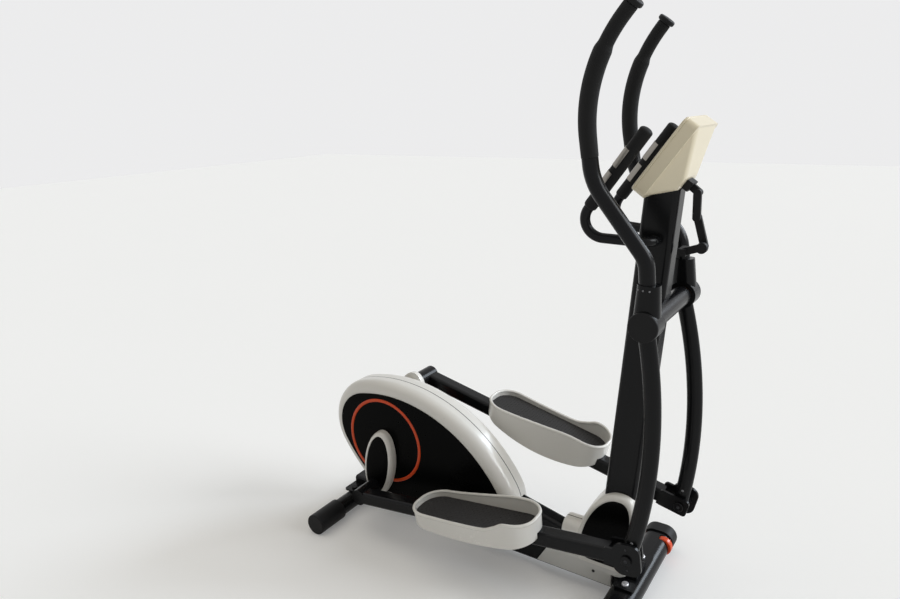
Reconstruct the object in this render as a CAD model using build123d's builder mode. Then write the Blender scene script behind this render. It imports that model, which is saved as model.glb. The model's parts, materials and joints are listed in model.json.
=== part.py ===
from build123d import *
import os
from math import acos, atan2, cos, degrees, hypot, radians, sin, tan

os.makedirs("parts", exist_ok=True)

# Linkage seen from the side: +X is forwards, +Z up, the right side is -Y
CRANK_X = -376.75
CRANK_Z = 290.0
CRANK_THROW = 168.0
CRANK_LAG = 10.5
PIVOT_REACH = 889.0
PIVOT_Z = 867.0
SWING_LENGTH = 624.0
PEDAL_ARM_LENGTH = 917.0

# Clearances: fixed fit, running fit, gap between covers, gap between moving parts
FIT = 0.02
RUN = 0.05
SEAT = 0.3
GAP = 0.4

# Base frame
FRAME_WALL = 3.0
RAIL_WIDTH = 76.0
RAIL_BOTTOM = 24.0
RAIL_TOP = 95.0
RAIL_ROUND = 8.0
RAIL_OVERHANG = 22.0
BOOM_WIDTH = 56.0
BOOM_HEIGHT = 84.0
BOOM_ROUND = 14.0
BOOM_SLOPE = 13.2
BOOM_REACH = 400.0
BOOM_Z = 175.0
PLATE_THICK = 4.0
PLATE_FOOT_REACH = 120.0
PLATE_FOOT_LENGTH = 380.0
PLATE_FOOT_HEIGHT = 12.0
PLATE_MARGIN = 16.0
PLATE_HOLE_R = 46.0
PLATE_HOLE_REACH = 118.0
PLATE_HOLE_Z = 185.0
SADDLE_LENGTH = 60.0
SADDLE_WIDTH = 180.0
SADDLE_THICK = 6.0
SADDLE_BOLT_Y = 70.0
BOLT_R = 5.0
BOLT_HEAD_R = 10.0
BOLT_HEAD_HEIGHT = 6.0
BOLT_LENGTH = 30.0

# Stabilizers, end caps and transport wheels
STABILIZER_HALF = 272.0
CAP_WALL = 5.0
REAR_REACH = -145.0
REAR_Z = 34.0
REAR_TUBE_R = 29.0
REAR_CAP_R = 35.0
REAR_CAP_LENGTH = 112.0
FRONT_AHEAD = 52.0
FRONT_Z = 42.0
FRONT_LENGTH = 86.0
FRONT_HEIGHT = 62.0
FRONT_CAP_LENGTH = 46.0
FOOT_WIDTH = 30.0
FOOT_LENGTH = 66.0
STABILIZER_WALL = 2.5
WHEEL_R = 27.0
WHEEL_WIDTH = 22.0
WHEEL_INSET = 69.0
WHEEL_AHEAD = 24.0
WHEEL_Z = 46.0
WHEEL_EDGE = 4.0
WHEEL_AXLE_R = 5.0
WHEEL_GAP = 2.5
WHEEL_EAR = 4.0

# Mast, from its foot on the base frame to the console
MAST_FOOT_Z = 160.0
MAST_FOOT_REACH = 791.0
MAST_FOOT_DEPTH = 90.0
MAST_FOOT_WIDTH = 72.0
MAST_TOP_Z = 1146.0
MAST_TOP_REACH = 867.0
MAST_TOP_DEPTH = 85.0
MAST_TOP_WIDTH = 66.0
MAST_ROUND = 14.0
MAST_WALL = 3.0
SPIGOT_TOP = 300.0
SPIGOT_WALL = 4.0
CROSS_TUBE_R = 26.0
CROSS_TUBE_HALF = 126.0
PIVOT_AXLE_R = 12.0
BUSH_R = 16.0
BUSH_FLANGE_R = 25.0
BUSH_FLANGE = 3.5

# Mast-foot cover: outlines hulled round circles (ahead of the mast foot, height, radius), collar and skirt
HOOD_ROUNDS = ((-77, 60, 30), (-77, 212, 30), (-23, 276, 45), (37, 307, 24), (37, 60, 24))
HOOD_HALF = 58.0
HOOD_EDGE = 16.0
HOOD_WALL = 3.0
HOOD_FLOOR = 84.0
COLLAR_BACK = 157.0
COLLAR_TOP = 212.0
COLLAR_HALF = 46.0
COLLAR_EDGE = 9.0
SKIRT_BACK = 229.0
SKIRT_SLANT = 36.0
SKIRT_AHEAD = 5.0
SKIRT_BOTTOM = 38.0
SKIRT_TOP = 99.0
SKIRT_HALF = 50.0
DISC_ROUNDS = ((-67, 124, 18), (-63, 165, 22), (6, 265, 50), (26, 298, 20), (28, 124, 18))
DISC_THICK = 4.0
DISC_EDGE = 2.0

# Drive housing: a leaning ellipse in two shells with flat side panels and rings
POD_REACH = 130.0
POD_Z = 241.0
POD_LONG = 373.0
POD_SHORT = 231.0
POD_NOSE_R = 160.0
POD_LEAN = -22.0
POD_HALF = 59.0
POD_EDGE = 36.0
POD_WALL = 3.0
POD_AXLE_HOLE_R = 15.0
PANEL_INSET = 38.0
PANEL_THICK = 3.0
PANEL_EDGE = 1.0
RING_R = 143.0
RING_WIDTH = 11.0
RING_THICK = 1.6

# Drive inside the housing
CRANK_AXLE_R = 10.0
BEARING_R = 21.0
BEARING_WIDTH = 12.0
BEARING_TUBE_R = 26.0
BEARING_TUBE_RIGHT = 48.0
BEARING_TUBE_LEFT = 33.0
PULLEY_R = 118.0
PULLEY_WIDTH = 14.0
PULLEY_Y = 36.0
PULLEY_RIM = 10.0
PULLEY_WEB = 5.0
PULLEY_HUB_R = 24.0
PULLEY_HOLE_R = 20.0
PULLEY_HOLES = 6
FLYWHEEL_REACH = 258.0
FLYWHEEL_Z = 238.0
FLYWHEEL_R = 108.0
FLYWHEEL_WIDTH = 34.0
FLYWHEEL_RIM = 26.0
FLYWHEEL_WEB = 10.0
FLYWHEEL_HUB_R = 26.0
FLYWHEEL_SHAFT_R = 8.0
FLYWHEEL_BEARING_R = 16.0
FLYWHEEL_BEARING_WIDTH = 8.0
FLYWHEEL_PULLEY_R = 16.0
BELT_WIDTH = 10.0
BELT_THICK = 3.0
BRAKE_GAP = 3.0
BRAKE_THICK = 8.0
BRAKE_WIDTH = 30.0
BRAKE_FROM = -45.0
BRAKE_TO = 48.0
BRAKE_PIN_R = 5.0
BRAKE_BOSS_R = 11.0
SERVO_LENGTH = 60.0
SERVO_HEIGHT = 44.0
SERVO_DEPTH = 20.0
SERVO_ROUND = 4.0
SERVO_REACH = 330.0
SERVO_Z = 200.0

# Cranks and their covers, from the housing outwards
COVER_IN = 65.5
COVER_OUT = 92.0
COVER_AXLE_R = 54.0
COVER_PIN_R = 41.0
COVER_EDGE = 7.0
COVER_WALL = 3.0
COVER_FACE = 6.0
INSERT_BORDER = 9.0
INSERT_THICK = 3.0
CRANK_ARM_IN = 68.0
CRANK_AXLE_END_R = 27.0
CRANK_PIN_END_R = 21.0
CRANK_PIN_R = 10.0

# Pedal arms
ARM_Y = 154.0
ARM_WIDTH = 48.0
ARM_HEIGHT = 42.0
ARM_ROUND = 9.0
ARM_WALL = 3.0
ARM_DROP = 3.0
BOSS_R = 27.0
BOSS_BORE_R = 13.0
BOSS_BORE_DEPTH = 12.0
FORK_R = 25.0
FORK_THICK = 8.0
FORK_EDGE = 10.0
FORK_COVER_LENGTH = 74.0
FORK_COVER_HEIGHT = 88.0
FORK_COVER_ROUND = 26.0
FORK_SETBACK = 52.0
FORK_YOKE = 10.0
EYE_R = 23.0
EYE_WIDTH = 40.0
EYE_SIDE_GAP = 0.5
PIN_R = 9.0
PIN_HEAD_R = 14.0
PIN_HEAD = 6.0

# Foot cups and mats, measured along the pedal arm and above its middle line
CUP_HEEL = 256.0
CUP_TOE = 668.0
CUP_IN = 96.0
CUP_OUT = 248.0
CUP_ROUND = 66.0
CUP_WALL = 5.0
CUP_FLOOR = 4.0
CUP_TOP = 76.0
CUP_DEEP = 60.0
CUP_FLARE = 3.0
OUTER_RIM = ((-20, 42), (10, 42), (90, 39), (180, 37), (270, 39), (312, 53), (345, 67), (402, 63), (432, 62))
INNER_RIM = ((-20, 42), (10, 42), (100, 45), (220, 58), (310, 68), (402, 63), (432, 62))
SKIRT_END = 4.0
SKIRT_OUTER = -18.0
SKIRT_INNER = -46.0
MAT_THICK = 4.0
MAT_GAP = 2.0

# Swing arms and moving handlebars, measured from the pivot
SWING_BOW = 33.0
SWING_DEEP = 21.0
SWING_FLAT = 17.0
SWING_WALL = 3.0
PIVOT_BOSS_R = 36.0
PIVOT_BOSS_IN = 130.0
PIVOT_BOSS_OUT = 178.0
PIVOT_CAP = 9.0
PIVOT_CAP_EDGE = 4.0
SLEEVE_FROM = 22.0
SLEEVE_TO = 96.0
SLEEVE_FOOT = 62.0
SLEEVE_TIP = 52.0
SLEEVE_WIDTH = 46.0
SLEEVE_ROUND = 20.0
HANDLE_SOCKET = 44.0
HANDLE_R = 19.0
HANDLE_WALL = 4.5
HANDLE_TOP_R = 15.5
HANDLE_TOP_WALL = 2.5
HANDLE_BEND = (-10.0, 150.0, 2.0)
HANDLE_KNEE = (-140.0, 322.0, 22.0)
HANDLE_CROWN = (-172.0, 563.0, 34.0)
HANDLE_END = (-66.0, 689.0, 38.0)
HANDLE_BEND_R = 80.0
HANDLE_KNEE_R = 150.0
HANDLE_CROWN_R = 330.0
GRIP_SPLIT = 0.22
GRIP_R = 20.5
GRIP_CAP_R = 22.0
GRIP_CAP = 13.0
GRIP_CAP_EDGE = 5.0
GRIP_PLUG = 22.0

# Console: a wedge that leans back, with its face to the user
FACE_BEHIND = 55.0
FACE_RISE = 22.0
FACE_LEAN = 36.0
FACE_LENGTH = 200.0
FACE_WIDTH = 184.0
FACE_ROUND = 16.0
FACE_THICK = 8.0
FACE_EDGE = 3.0
CASE_DEPTH = 36.0
CASE_HUMP = 80.0
CASE_WALL = 2.5
CASE_TAPER = 6.0
HUMP_WIDTH = 108.0
HUMP_FROM = 52.0
HUMP_TO = 88.0
SCREEN_WIDTH = 126.0
SCREEN_HEIGHT = 76.0
SCREEN_UP = 138.0
SCREEN_ROUND = 5.0
SCREEN_THICK = 3.0
BUTTON_R = 9.0
BUTTON_UP = 58.0
BUTTON_PITCH = 40.0
BUTTON_PROUD = 2.5
BUTTON_LENGTH = 9.0
BUTTON_EDGE = 1.0

# Fixed handlebar with foam grips and pulse plates
BAR_R = 12.5
BAR_WALL = 2.0
BAR_AHEAD = 4.0
BAR_Z = 1042.0
BAR_STUB = 75.0
BAR_Y = 105.0
BAR_BACK = 194.0
BAR_BEND_Z = 1052.0
BAR_RAKE = 54.0
BAR_GRIP = 306.0
BAR_STUB_R = 36.0
BAR_BEND_R = 46.0
FOAM_R = 16.5
FOAM_FROM = 88.0
FOAM_END = 8.0
SENSOR_LENGTH = 50.0
SENSOR_SPACING = 66.0
SENSOR_UP = 196.0
SENSOR_PROUD = 0.8

# Jointed device holder: gaps from the mast's front face, rises from the mast's top
HOLDER_WIDTH = 44.0
HOLDER_BLOCK = 16.0
HOLDER_HEIGHT = 24.0
HOLDER_ROUND = 1.0
SHOULDER_GAP = 36.0
SHOULDER_RISE = 10.0
ELBOW_GAP = 42.0
ELBOW_RISE = -48.0
WRIST_GAP = 67.0
WRIST_RISE = -116.0
HEAD_GAP = 22.0
HEAD_RISE = -132.0
LINK_R = 9.0
LINK_LANE = 10.0
LINK_PIN_R = 4.0
LINK_KNOB_R = 13.0
LINK_KNOB = 14.0
LINK_SIDE_GAP = 0.5

SIDES = ((-1, "right"), (1, "left"))
PIVOT_X = CRANK_X + PIVOT_REACH


# Upright plane through (x, y, z), facing right, its own x turned nose-up by turn degrees
def upright(x, y, z, turn=0.0):
    nose = (cos(radians(turn)), 0, sin(radians(turn)))
    return Plane(origin=(x, y, z), x_dir=nose, z_dir=(0, -1, 0))


# Plane square to a line that climbs at slope degrees, its own x to the left
def across(x, y, z, slope=0.0):
    nose = (cos(radians(slope)), 0, sin(radians(slope)))
    return Plane(origin=(x, y, z), x_dir=(0, 1, 0), z_dir=nose)


# Crank pin of a side: the right crank hangs down and the left one stands up
def pin_of(side):
    lag = radians(CRANK_LAG)
    return CRANK_X + side * CRANK_THROW * sin(lag), CRANK_Z + side * CRANK_THROW * cos(lag)


# Slope of the pedal arm that closes the linkage of a side
def arm_slope(side):
    x, z = pin_of(side)
    gap = hypot(PIVOT_X - x, PIVOT_Z - z)
    cosine = (PEDAL_ARM_LENGTH**2 + gap**2 - SWING_LENGTH**2) / (2 * PEDAL_ARM_LENGTH * gap)
    return degrees(atan2(PIVOT_Z - z, PIVOT_X - x) - acos(cosine))


# Lower joint of a side, where the pedal arm meets the swing arm
def joint_of(side):
    x, z = pin_of(side)
    slope = radians(arm_slope(side))
    return x + PEDAL_ARM_LENGTH * cos(slope), z + PEDAL_ARM_LENGTH * sin(slope)


# Turn of the swing arm of a side, positive with its lower end forwards
def swing_turn(side):
    x, z = joint_of(side)
    return degrees(atan2(x - PIVOT_X, PIVOT_Z - z))


# Mast section at a height: middle, depth and width
def mast_at(z):
    share = (z - MAST_FOOT_Z) / (MAST_TOP_Z - MAST_FOOT_Z)
    middle = CRANK_X + MAST_FOOT_REACH + share * (MAST_TOP_REACH - MAST_FOOT_REACH)
    depth = MAST_FOOT_DEPTH + share * (MAST_TOP_DEPTH - MAST_FOOT_DEPTH)
    width = MAST_FOOT_WIDTH + share * (MAST_TOP_WIDTH - MAST_FOOT_WIDTH)
    return middle, depth, width


# Point ahead of the mast's front face, at a height counted from its top
def before_mast(gap, rise):
    middle, depth, width = mast_at(MAST_TOP_Z + rise)
    return Vector(middle + depth / 2 + gap, 0, MAST_TOP_Z + rise)


# Tapered mast body, drawn in by inset on every side
def mast_body(bottom, top, inset):
    with BuildPart() as body:
        for z in (bottom, top):
            middle, depth, width = mast_at(z)
            with BuildSketch(Plane((middle, 0, z))):
                RectangleRounded(depth - 2 * inset, width - 2 * inset, MAST_ROUND - inset)
        loft()
    return body.part


# Oval of the drive housing on the current sketch, made of four arcs and drawn in by inset
def pod_oval(inset):
    crown_r = (POD_LONG**2 + POD_SHORT**2 - 2 * POD_LONG * POD_NOSE_R) / (2 * (POD_SHORT - POD_NOSE_R))
    nose = POD_LONG - POD_NOSE_R
    keel = crown_r - POD_SHORT
    meet = degrees(atan2(keel, nose))
    with BuildLine() as oval:
        CenterArc((nose, 0), POD_NOSE_R - inset, -meet, 2 * meet)
        CenterArc((0, -keel), crown_r - inset, meet, 180 - 2 * meet)
        CenterArc((-nose, 0), POD_NOSE_R - inset, 180 - meet, 2 * meet)
        CenterArc((0, keel), crown_r - inset, 180 + meet, 180 - 2 * meet)
    make_face(oval.edges())


# Right half of the drive housing's form, drawn in by inset, standing on the rail
def pod_half(inset):
    with BuildPart() as half:
        with BuildSketch(upright(CRANK_X + POD_REACH, 0, POD_Z, POD_LEAN)):
            pod_oval(inset)
        extrude(amount=POD_HALF - inset)
        fillet(half.faces().sort_by(Axis.Y)[0].edges(), POD_EDGE - inset)
        split(bisect_by=Plane.XY.offset(RAIL_TOP + inset), keep=Keep.TOP)
    return half.part


# Crank cover outline on the current sketch, drawn in by inset
def cover_outline(side, inset):
    pin_x, pin_z = pin_of(side)
    Circle(COVER_AXLE_R - inset)
    with Locations((pin_x - CRANK_X, pin_z - CRANK_Z)):
        Circle(COVER_PIN_R - inset)
    make_hull()


# Write a finished piece under its name
def keep(piece, name):
    piece.part.label = name
    export_step(piece.part, f"parts/{name}.step")


# Boom plane: middle line of the boom at its rear end, inside the housing
boom_rear = across(CRANK_X + BOOM_REACH, 0, BOOM_Z, -BOOM_SLOPE)
mast_rear_x = mast_at(MAST_FOOT_Z)[0] - MAST_FOOT_DEPTH / 2
boom_length = (mast_rear_x - CRANK_X - BOOM_REACH) / cos(radians(BOOM_SLOPE)) + BOOM_ROUND
rear_x = CRANK_X + REAR_REACH
front_x = CRANK_X + MAST_FOOT_REACH + FRONT_AHEAD
flywheel_x = CRANK_X + FLYWHEEL_REACH
brake_pin_r = FLYWHEEL_R + BRAKE_GAP + BRAKE_BOSS_R
brake_pin = (brake_pin_r * cos(radians(BRAKE_TO)), brake_pin_r * sin(radians(BRAKE_TO)))
plate_in = BOOM_WIDTH / 2
rear_top = REAR_Z + REAR_TUBE_R
front_top = FRONT_Z + FRONT_HEIGHT / 2

# Base frame: rail, saddles, boom, mast spigot, drive plates and crank bearing tube, welded together
with BuildPart() as base_frame:
    with BuildSketch(across(rear_x - RAIL_OVERHANG, 0, (RAIL_TOP + RAIL_BOTTOM) / 2)):
        RectangleRounded(RAIL_WIDTH, RAIL_TOP - RAIL_BOTTOM, RAIL_ROUND)
    extrude(amount=front_x - rear_x + 2 * RAIL_OVERHANG)
    with BuildSketch(across(rear_x - RAIL_OVERHANG + FRAME_WALL, 0, (RAIL_TOP + RAIL_BOTTOM) / 2)):
        RectangleRounded(RAIL_WIDTH - 2 * FRAME_WALL, RAIL_TOP - RAIL_BOTTOM - 2 * FRAME_WALL,
                         RAIL_ROUND - FRAME_WALL)
    extrude(amount=front_x - rear_x + 2 * (RAIL_OVERHANG - FRAME_WALL), mode=Mode.SUBTRACT)
    for saddle_x, saddle_z in ((rear_x, rear_top), (front_x, front_top)):
        with BuildSketch(Plane((saddle_x, 0, saddle_z + SEAT))):
            RectangleRounded(SADDLE_LENGTH, SADDLE_WIDTH, RAIL_ROUND)
            with GridLocations(1, 2 * SADDLE_BOLT_Y, 1, 2):
                Circle(BOLT_R + FIT, mode=Mode.SUBTRACT)
        extrude(amount=SADDLE_THICK)
    with BuildSketch(upright(rear_x, 0, REAR_Z)):
        Circle(REAR_TUBE_R + SEAT)
    extrude(amount=RAIL_WIDTH, both=True, mode=Mode.SUBTRACT)
    with BuildSketch(upright(front_x, 0, FRONT_Z)):
        SlotOverall(FRONT_LENGTH + 2 * SEAT, FRONT_HEIGHT + 2 * SEAT)
    extrude(amount=RAIL_WIDTH, both=True, mode=Mode.SUBTRACT)
    with BuildSketch(boom_rear):
        RectangleRounded(BOOM_WIDTH, BOOM_HEIGHT, BOOM_ROUND)
        RectangleRounded(BOOM_WIDTH - 2 * FRAME_WALL, BOOM_HEIGHT - 2 * FRAME_WALL,
                         BOOM_ROUND - FRAME_WALL, mode=Mode.SUBTRACT)
    extrude(amount=boom_length)
    foot_x, foot_depth, foot_width = mast_at(MAST_FOOT_Z)
    top_x, top_depth, top_width = mast_at(SPIGOT_TOP)
    spigot_rear = top_x - top_depth / 2 + MAST_WALL + GAP
    spigot_front = foot_x + foot_depth / 2 - MAST_WALL - GAP
    spigot_width = top_width - 2 * (MAST_WALL + GAP)
    with BuildSketch(Plane((foot_x, 0, RAIL_TOP - FRAME_WALL))):
        RectangleRounded(foot_depth, foot_width, MAST_ROUND)
        RectangleRounded(foot_depth - 4 * SPIGOT_WALL, foot_width - 4 * SPIGOT_WALL,
                         MAST_ROUND - 2 * SPIGOT_WALL, mode=Mode.SUBTRACT)
    extrude(amount=MAST_FOOT_Z - RAIL_TOP + FRAME_WALL)
    with BuildSketch(Plane(((spigot_rear + spigot_front) / 2, 0, MAST_FOOT_Z - SPIGOT_WALL))):
        RectangleRounded(spigot_front - spigot_rear, spigot_width, MAST_ROUND - MAST_WALL)
        RectangleRounded(spigot_front - spigot_rear - 2 * SPIGOT_WALL, spigot_width - 2 * SPIGOT_WALL,
                         MAST_ROUND - MAST_WALL - SPIGOT_WALL, mode=Mode.SUBTRACT)
    extrude(amount=SPIGOT_TOP - MAST_FOOT_Z + SPIGOT_WALL)
    for side, hand in SIDES:
        with BuildSketch(upright(CRANK_X, side * plate_in, 0)):
            with Locations((0, CRANK_Z)):
                Circle(BEARING_TUBE_R + PLATE_MARGIN)
            with Locations((FLYWHEEL_REACH, FLYWHEEL_Z)):
                Circle(FLYWHEEL_BEARING_R + PLATE_MARGIN)
            with Locations((FLYWHEEL_REACH + brake_pin[0], FLYWHEEL_Z + brake_pin[1])):
                Circle(BRAKE_PIN_R + PLATE_MARGIN)
            with Locations((PLATE_FOOT_REACH, RAIL_TOP + PLATE_FOOT_HEIGHT / 2)):
                Rectangle(PLATE_FOOT_LENGTH, PLATE_FOOT_HEIGHT)
            with Locations((BOOM_REACH + BOOM_WIDTH / 2, BOOM_Z - BOOM_WIDTH / 4)):
                Circle(BOOM_WIDTH / 2)
            make_hull()
            with Locations((PLATE_HOLE_REACH, PLATE_HOLE_Z)):
                Circle(PLATE_HOLE_R, mode=Mode.SUBTRACT)
            with Locations((FLYWHEEL_REACH, FLYWHEEL_Z)):
                Circle(FLYWHEEL_BEARING_R + FIT, mode=Mode.SUBTRACT)
            with Locations((FLYWHEEL_REACH + brake_pin[0], FLYWHEEL_Z + brake_pin[1])):
                Circle(BRAKE_PIN_R + RUN, mode=Mode.SUBTRACT)
        extrude(amount=-side * PLATE_THICK)
    with BuildSketch(upright(CRANK_X, BEARING_TUBE_LEFT, CRANK_Z)):
        Circle(BEARING_TUBE_R)
    extrude(amount=BEARING_TUBE_LEFT + BEARING_TUBE_RIGHT)
    with BuildSketch(upright(CRANK_X, BEARING_TUBE_LEFT, CRANK_Z)):
        Circle(BEARING_R + FIT)
    extrude(amount=BEARING_TUBE_LEFT + BEARING_TUBE_RIGHT, mode=Mode.SUBTRACT)
keep(base_frame, "base_frame")

# Rear stabilizer: round tube, with holes for its saddle bolts
with BuildPart() as rear_stabilizer:
    with BuildSketch(upright(rear_x, STABILIZER_HALF - CAP_WALL, REAR_Z)):
        Circle(REAR_TUBE_R)
        Circle(REAR_TUBE_R - STABILIZER_WALL, mode=Mode.SUBTRACT)
    extrude(amount=2 * (STABILIZER_HALF - CAP_WALL))
    with Locations((rear_x, SADDLE_BOLT_Y, rear_top), (rear_x, -SADDLE_BOLT_Y, rear_top)):
        Cylinder(BOLT_R + FIT, REAR_TUBE_R, mode=Mode.SUBTRACT)
keep(rear_stabilizer, "rear_stabilizer")

# Long round end caps of the rear stabilizer, flat where they stand on the floor
with BuildPart() as rear_end_caps:
    for side, hand in SIDES:
        with BuildSketch(upright(rear_x, side * (STABILIZER_HALF - REAR_CAP_LENGTH), REAR_Z)):
            Circle(REAR_CAP_R)
        extrude(amount=-side * REAR_CAP_LENGTH)
    fillet(rear_end_caps.edges().group_by(Axis.Y)[0], CAP_WALL - 1)
    fillet(rear_end_caps.edges().group_by(Axis.Y)[-1], CAP_WALL - 1)
    with BuildSketch(upright(rear_x, STABILIZER_HALF - CAP_WALL, REAR_Z)):
        Circle(REAR_TUBE_R + FIT)
    extrude(amount=2 * (STABILIZER_HALF - CAP_WALL), mode=Mode.SUBTRACT)
    split(bisect_by=Plane.XY, keep=Keep.TOP)
keep(rear_end_caps, "rear_end_caps")

# Front stabilizer: wide oval tube with a slot, two bulkheads and an axle for each transport wheel
wheel_x = front_x + WHEEL_AHEAD
wheel_y = STABILIZER_HALF - WHEEL_INSET
slot_half = WHEEL_WIDTH / 2 + SEAT
with BuildPart() as front_stabilizer:
    with BuildSketch(upright(front_x, STABILIZER_HALF - CAP_WALL, FRONT_Z)):
        SlotOverall(FRONT_LENGTH, FRONT_HEIGHT)
        SlotOverall(FRONT_LENGTH - 2 * STABILIZER_WALL, FRONT_HEIGHT - 2 * STABILIZER_WALL,
                    mode=Mode.SUBTRACT)
    extrude(amount=2 * (STABILIZER_HALF - CAP_WALL))
    for side, hand in SIDES:
        for edge in (-1, 1):
            ear_y = side * wheel_y + edge * (slot_half + WHEEL_EAR / 2)
            with BuildSketch(upright(front_x, ear_y, FRONT_Z)):
                SlotOverall(FRONT_LENGTH - STABILIZER_WALL, FRONT_HEIGHT - STABILIZER_WALL)
            extrude(amount=WHEEL_EAR / 2, both=True)
        with BuildSketch(upright(wheel_x, side * wheel_y, WHEEL_Z)):
            Circle(WHEEL_R + WHEEL_GAP)
        extrude(amount=slot_half, both=True, mode=Mode.SUBTRACT)
        with BuildSketch(upright(wheel_x, side * wheel_y, WHEEL_Z)):
            Circle(WHEEL_AXLE_R)
        extrude(amount=slot_half + WHEEL_EAR / 2, both=True)
    with Locations((front_x, SADDLE_BOLT_Y, front_top), (front_x, -SADDLE_BOLT_Y, front_top)):
        Cylinder(BOLT_R + FIT, FRONT_HEIGHT, mode=Mode.SUBTRACT)
keep(front_stabilizer, "front_stabilizer")

# Oval end caps of the front stabilizer, each with a foot pad
with BuildPart() as front_end_caps:
    for side, hand in SIDES:
        with BuildSketch(upright(front_x, side * (STABILIZER_HALF - FRONT_CAP_LENGTH), FRONT_Z)):
            SlotOverall(FRONT_LENGTH + 2 * CAP_WALL, FRONT_HEIGHT + 2 * CAP_WALL)
        extrude(amount=-side * FRONT_CAP_LENGTH)
    fillet(front_end_caps.edges().group_by(Axis.Y)[0], CAP_WALL - 1)
    fillet(front_end_caps.edges().group_by(Axis.Y)[-1], CAP_WALL - 1)
    with BuildSketch(Plane.XY):
        for side, hand in SIDES:
            with Locations((front_x, side * (STABILIZER_HALF - FRONT_CAP_LENGTH / 2))):
                RectangleRounded(FOOT_LENGTH, FOOT_WIDTH, RAIL_ROUND)
    extrude(amount=FRONT_Z)
    with BuildSketch(upright(front_x, STABILIZER_HALF - CAP_WALL, FRONT_Z)):
        SlotOverall(FRONT_LENGTH + 2 * FIT, FRONT_HEIGHT + 2 * FIT)
    extrude(amount=2 * (STABILIZER_HALF - CAP_WALL), mode=Mode.SUBTRACT)
keep(front_end_caps, "front_end_caps")

# Dome-head bolts that hold the saddles on the stabilizers
with BuildPart() as frame_bolts:
    for saddle_x, saddle_z in ((rear_x, rear_top), (front_x, front_top)):
        for side, hand in SIDES:
            with BuildSketch(Plane((saddle_x, side * SADDLE_BOLT_Y, saddle_z + SEAT + SADDLE_THICK))):
                Circle(BOLT_HEAD_R)
            extrude(amount=BOLT_HEAD_HEIGHT)
            with BuildSketch(Plane((saddle_x, side * SADDLE_BOLT_Y, saddle_z + SEAT + SADDLE_THICK))):
                Circle(BOLT_R)
            extrude(amount=-BOLT_LENGTH)
    fillet(frame_bolts.edges().filter_by(GeomType.CIRCLE).group_by(Axis.Z)[-1], BOLT_HEAD_HEIGHT / 2)
keep(frame_bolts, "frame_bolts")

# Transport wheels
for side, hand in SIDES:
    with BuildPart() as transport_wheel:
        with BuildSketch(upright(wheel_x, side * wheel_y, WHEEL_Z)):
            Circle(WHEEL_R)
            Circle(WHEEL_AXLE_R + RUN, mode=Mode.SUBTRACT)
        extrude(amount=WHEEL_WIDTH / 2, both=True)
        fillet(transport_wheel.edges().filter_by(GeomType.CIRCLE).sort_by(SortBy.RADIUS)[-2:], WHEEL_EDGE)
    keep(transport_wheel, f"transport_wheel_{hand}")

# Console face plane, its own x to the user's right and y up the face; the mast is cut off below the case
face_x = CRANK_X + MAST_TOP_REACH - FACE_BEHIND
face_plane = Plane(origin=(face_x, 0, MAST_TOP_Z + FACE_RISE), x_dir=(0, -1, 0),
                   z_dir=(-cos(radians(FACE_LEAN)), 0, sin(radians(FACE_LEAN))))
case_heel = face_plane.from_local_coords((0, 0, -CASE_DEPTH))
hump_heel = face_plane.from_local_coords((0, HUMP_FROM, -CASE_HUMP))
under_slope = atan2(hump_heel.Z - case_heel.Z, hump_heel.X - case_heel.X)
under_case = Plane(origin=(case_heel.X, 0, case_heel.Z - FIT), x_dir=(cos(under_slope), 0, sin(under_slope)),
                   z_dir=(-sin(under_slope), 0, cos(under_slope)))
holder_root = face_plane.from_local_coords((0, (HUMP_FROM + HUMP_TO) / 2, -CASE_HUMP - LINK_R - SEAT))
bar_x = mast_at(BAR_Z)[0] + BAR_AHEAD

# Mast: hollow tapered post with a cross tube for the swing pivots and a hole for the fixed bar
with BuildPart() as mast:
    add(mast_body(MAST_FOOT_Z, hump_heel.Z + MAST_WALL, 0))
    split(bisect_by=under_case, keep=Keep.BOTTOM)
    add(mast_body(MAST_FOOT_Z, MAST_TOP_Z - 2 * SPIGOT_WALL, MAST_WALL), mode=Mode.SUBTRACT)
    with BuildSketch(upright(PIVOT_X, 0, PIVOT_Z)):
        Circle(CROSS_TUBE_R)
    extrude(amount=CROSS_TUBE_HALF, both=True)
    with BuildSketch(upright(PIVOT_X, 0, PIVOT_Z)):
        Circle(PIVOT_AXLE_R + FIT)
    extrude(amount=CROSS_TUBE_HALF, both=True, mode=Mode.SUBTRACT)
    with BuildSketch(upright(bar_x, 0, BAR_Z)):
        Circle(BAR_R + FIT)
    extrude(amount=MAST_FOOT_WIDTH, both=True, mode=Mode.SUBTRACT)
keep(mast, "mast")

# Pivot axle through the cross tube
with BuildPart() as pivot_axle:
    with BuildSketch(upright(PIVOT_X, 0, PIVOT_Z)):
        Circle(PIVOT_AXLE_R)
    extrude(amount=PIVOT_BOSS_OUT - SEAT, both=True)
keep(pivot_axle, "pivot_axle")

# Bronze bushes on the axle, with the flange that shows beside the cross tube
with BuildPart() as pivot_bushes:
    for side, hand in SIDES:
        with BuildSketch(upright(PIVOT_X, side * CROSS_TUBE_HALF, PIVOT_Z)):
            Circle(BUSH_FLANGE_R)
            Circle(PIVOT_AXLE_R + FIT, mode=Mode.SUBTRACT)
        extrude(amount=-side * BUSH_FLANGE)
        with BuildSketch(upright(PIVOT_X, side * CROSS_TUBE_HALF, PIVOT_Z)):
            Circle(BUSH_R)
            Circle(PIVOT_AXLE_R + FIT, mode=Mode.SUBTRACT)
        extrude(amount=-side * (PIVOT_BOSS_OUT - SEAT - CROSS_TUBE_HALF))
keep(pivot_bushes, "pivot_bushes")

# Hull round circles on the current sketch, drawn in by inset
def hull_round(circles, inset):
    for ahead, z, radius in circles:
        with Locations((ahead, z)):
            Circle(radius - inset)
    make_hull()


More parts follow.
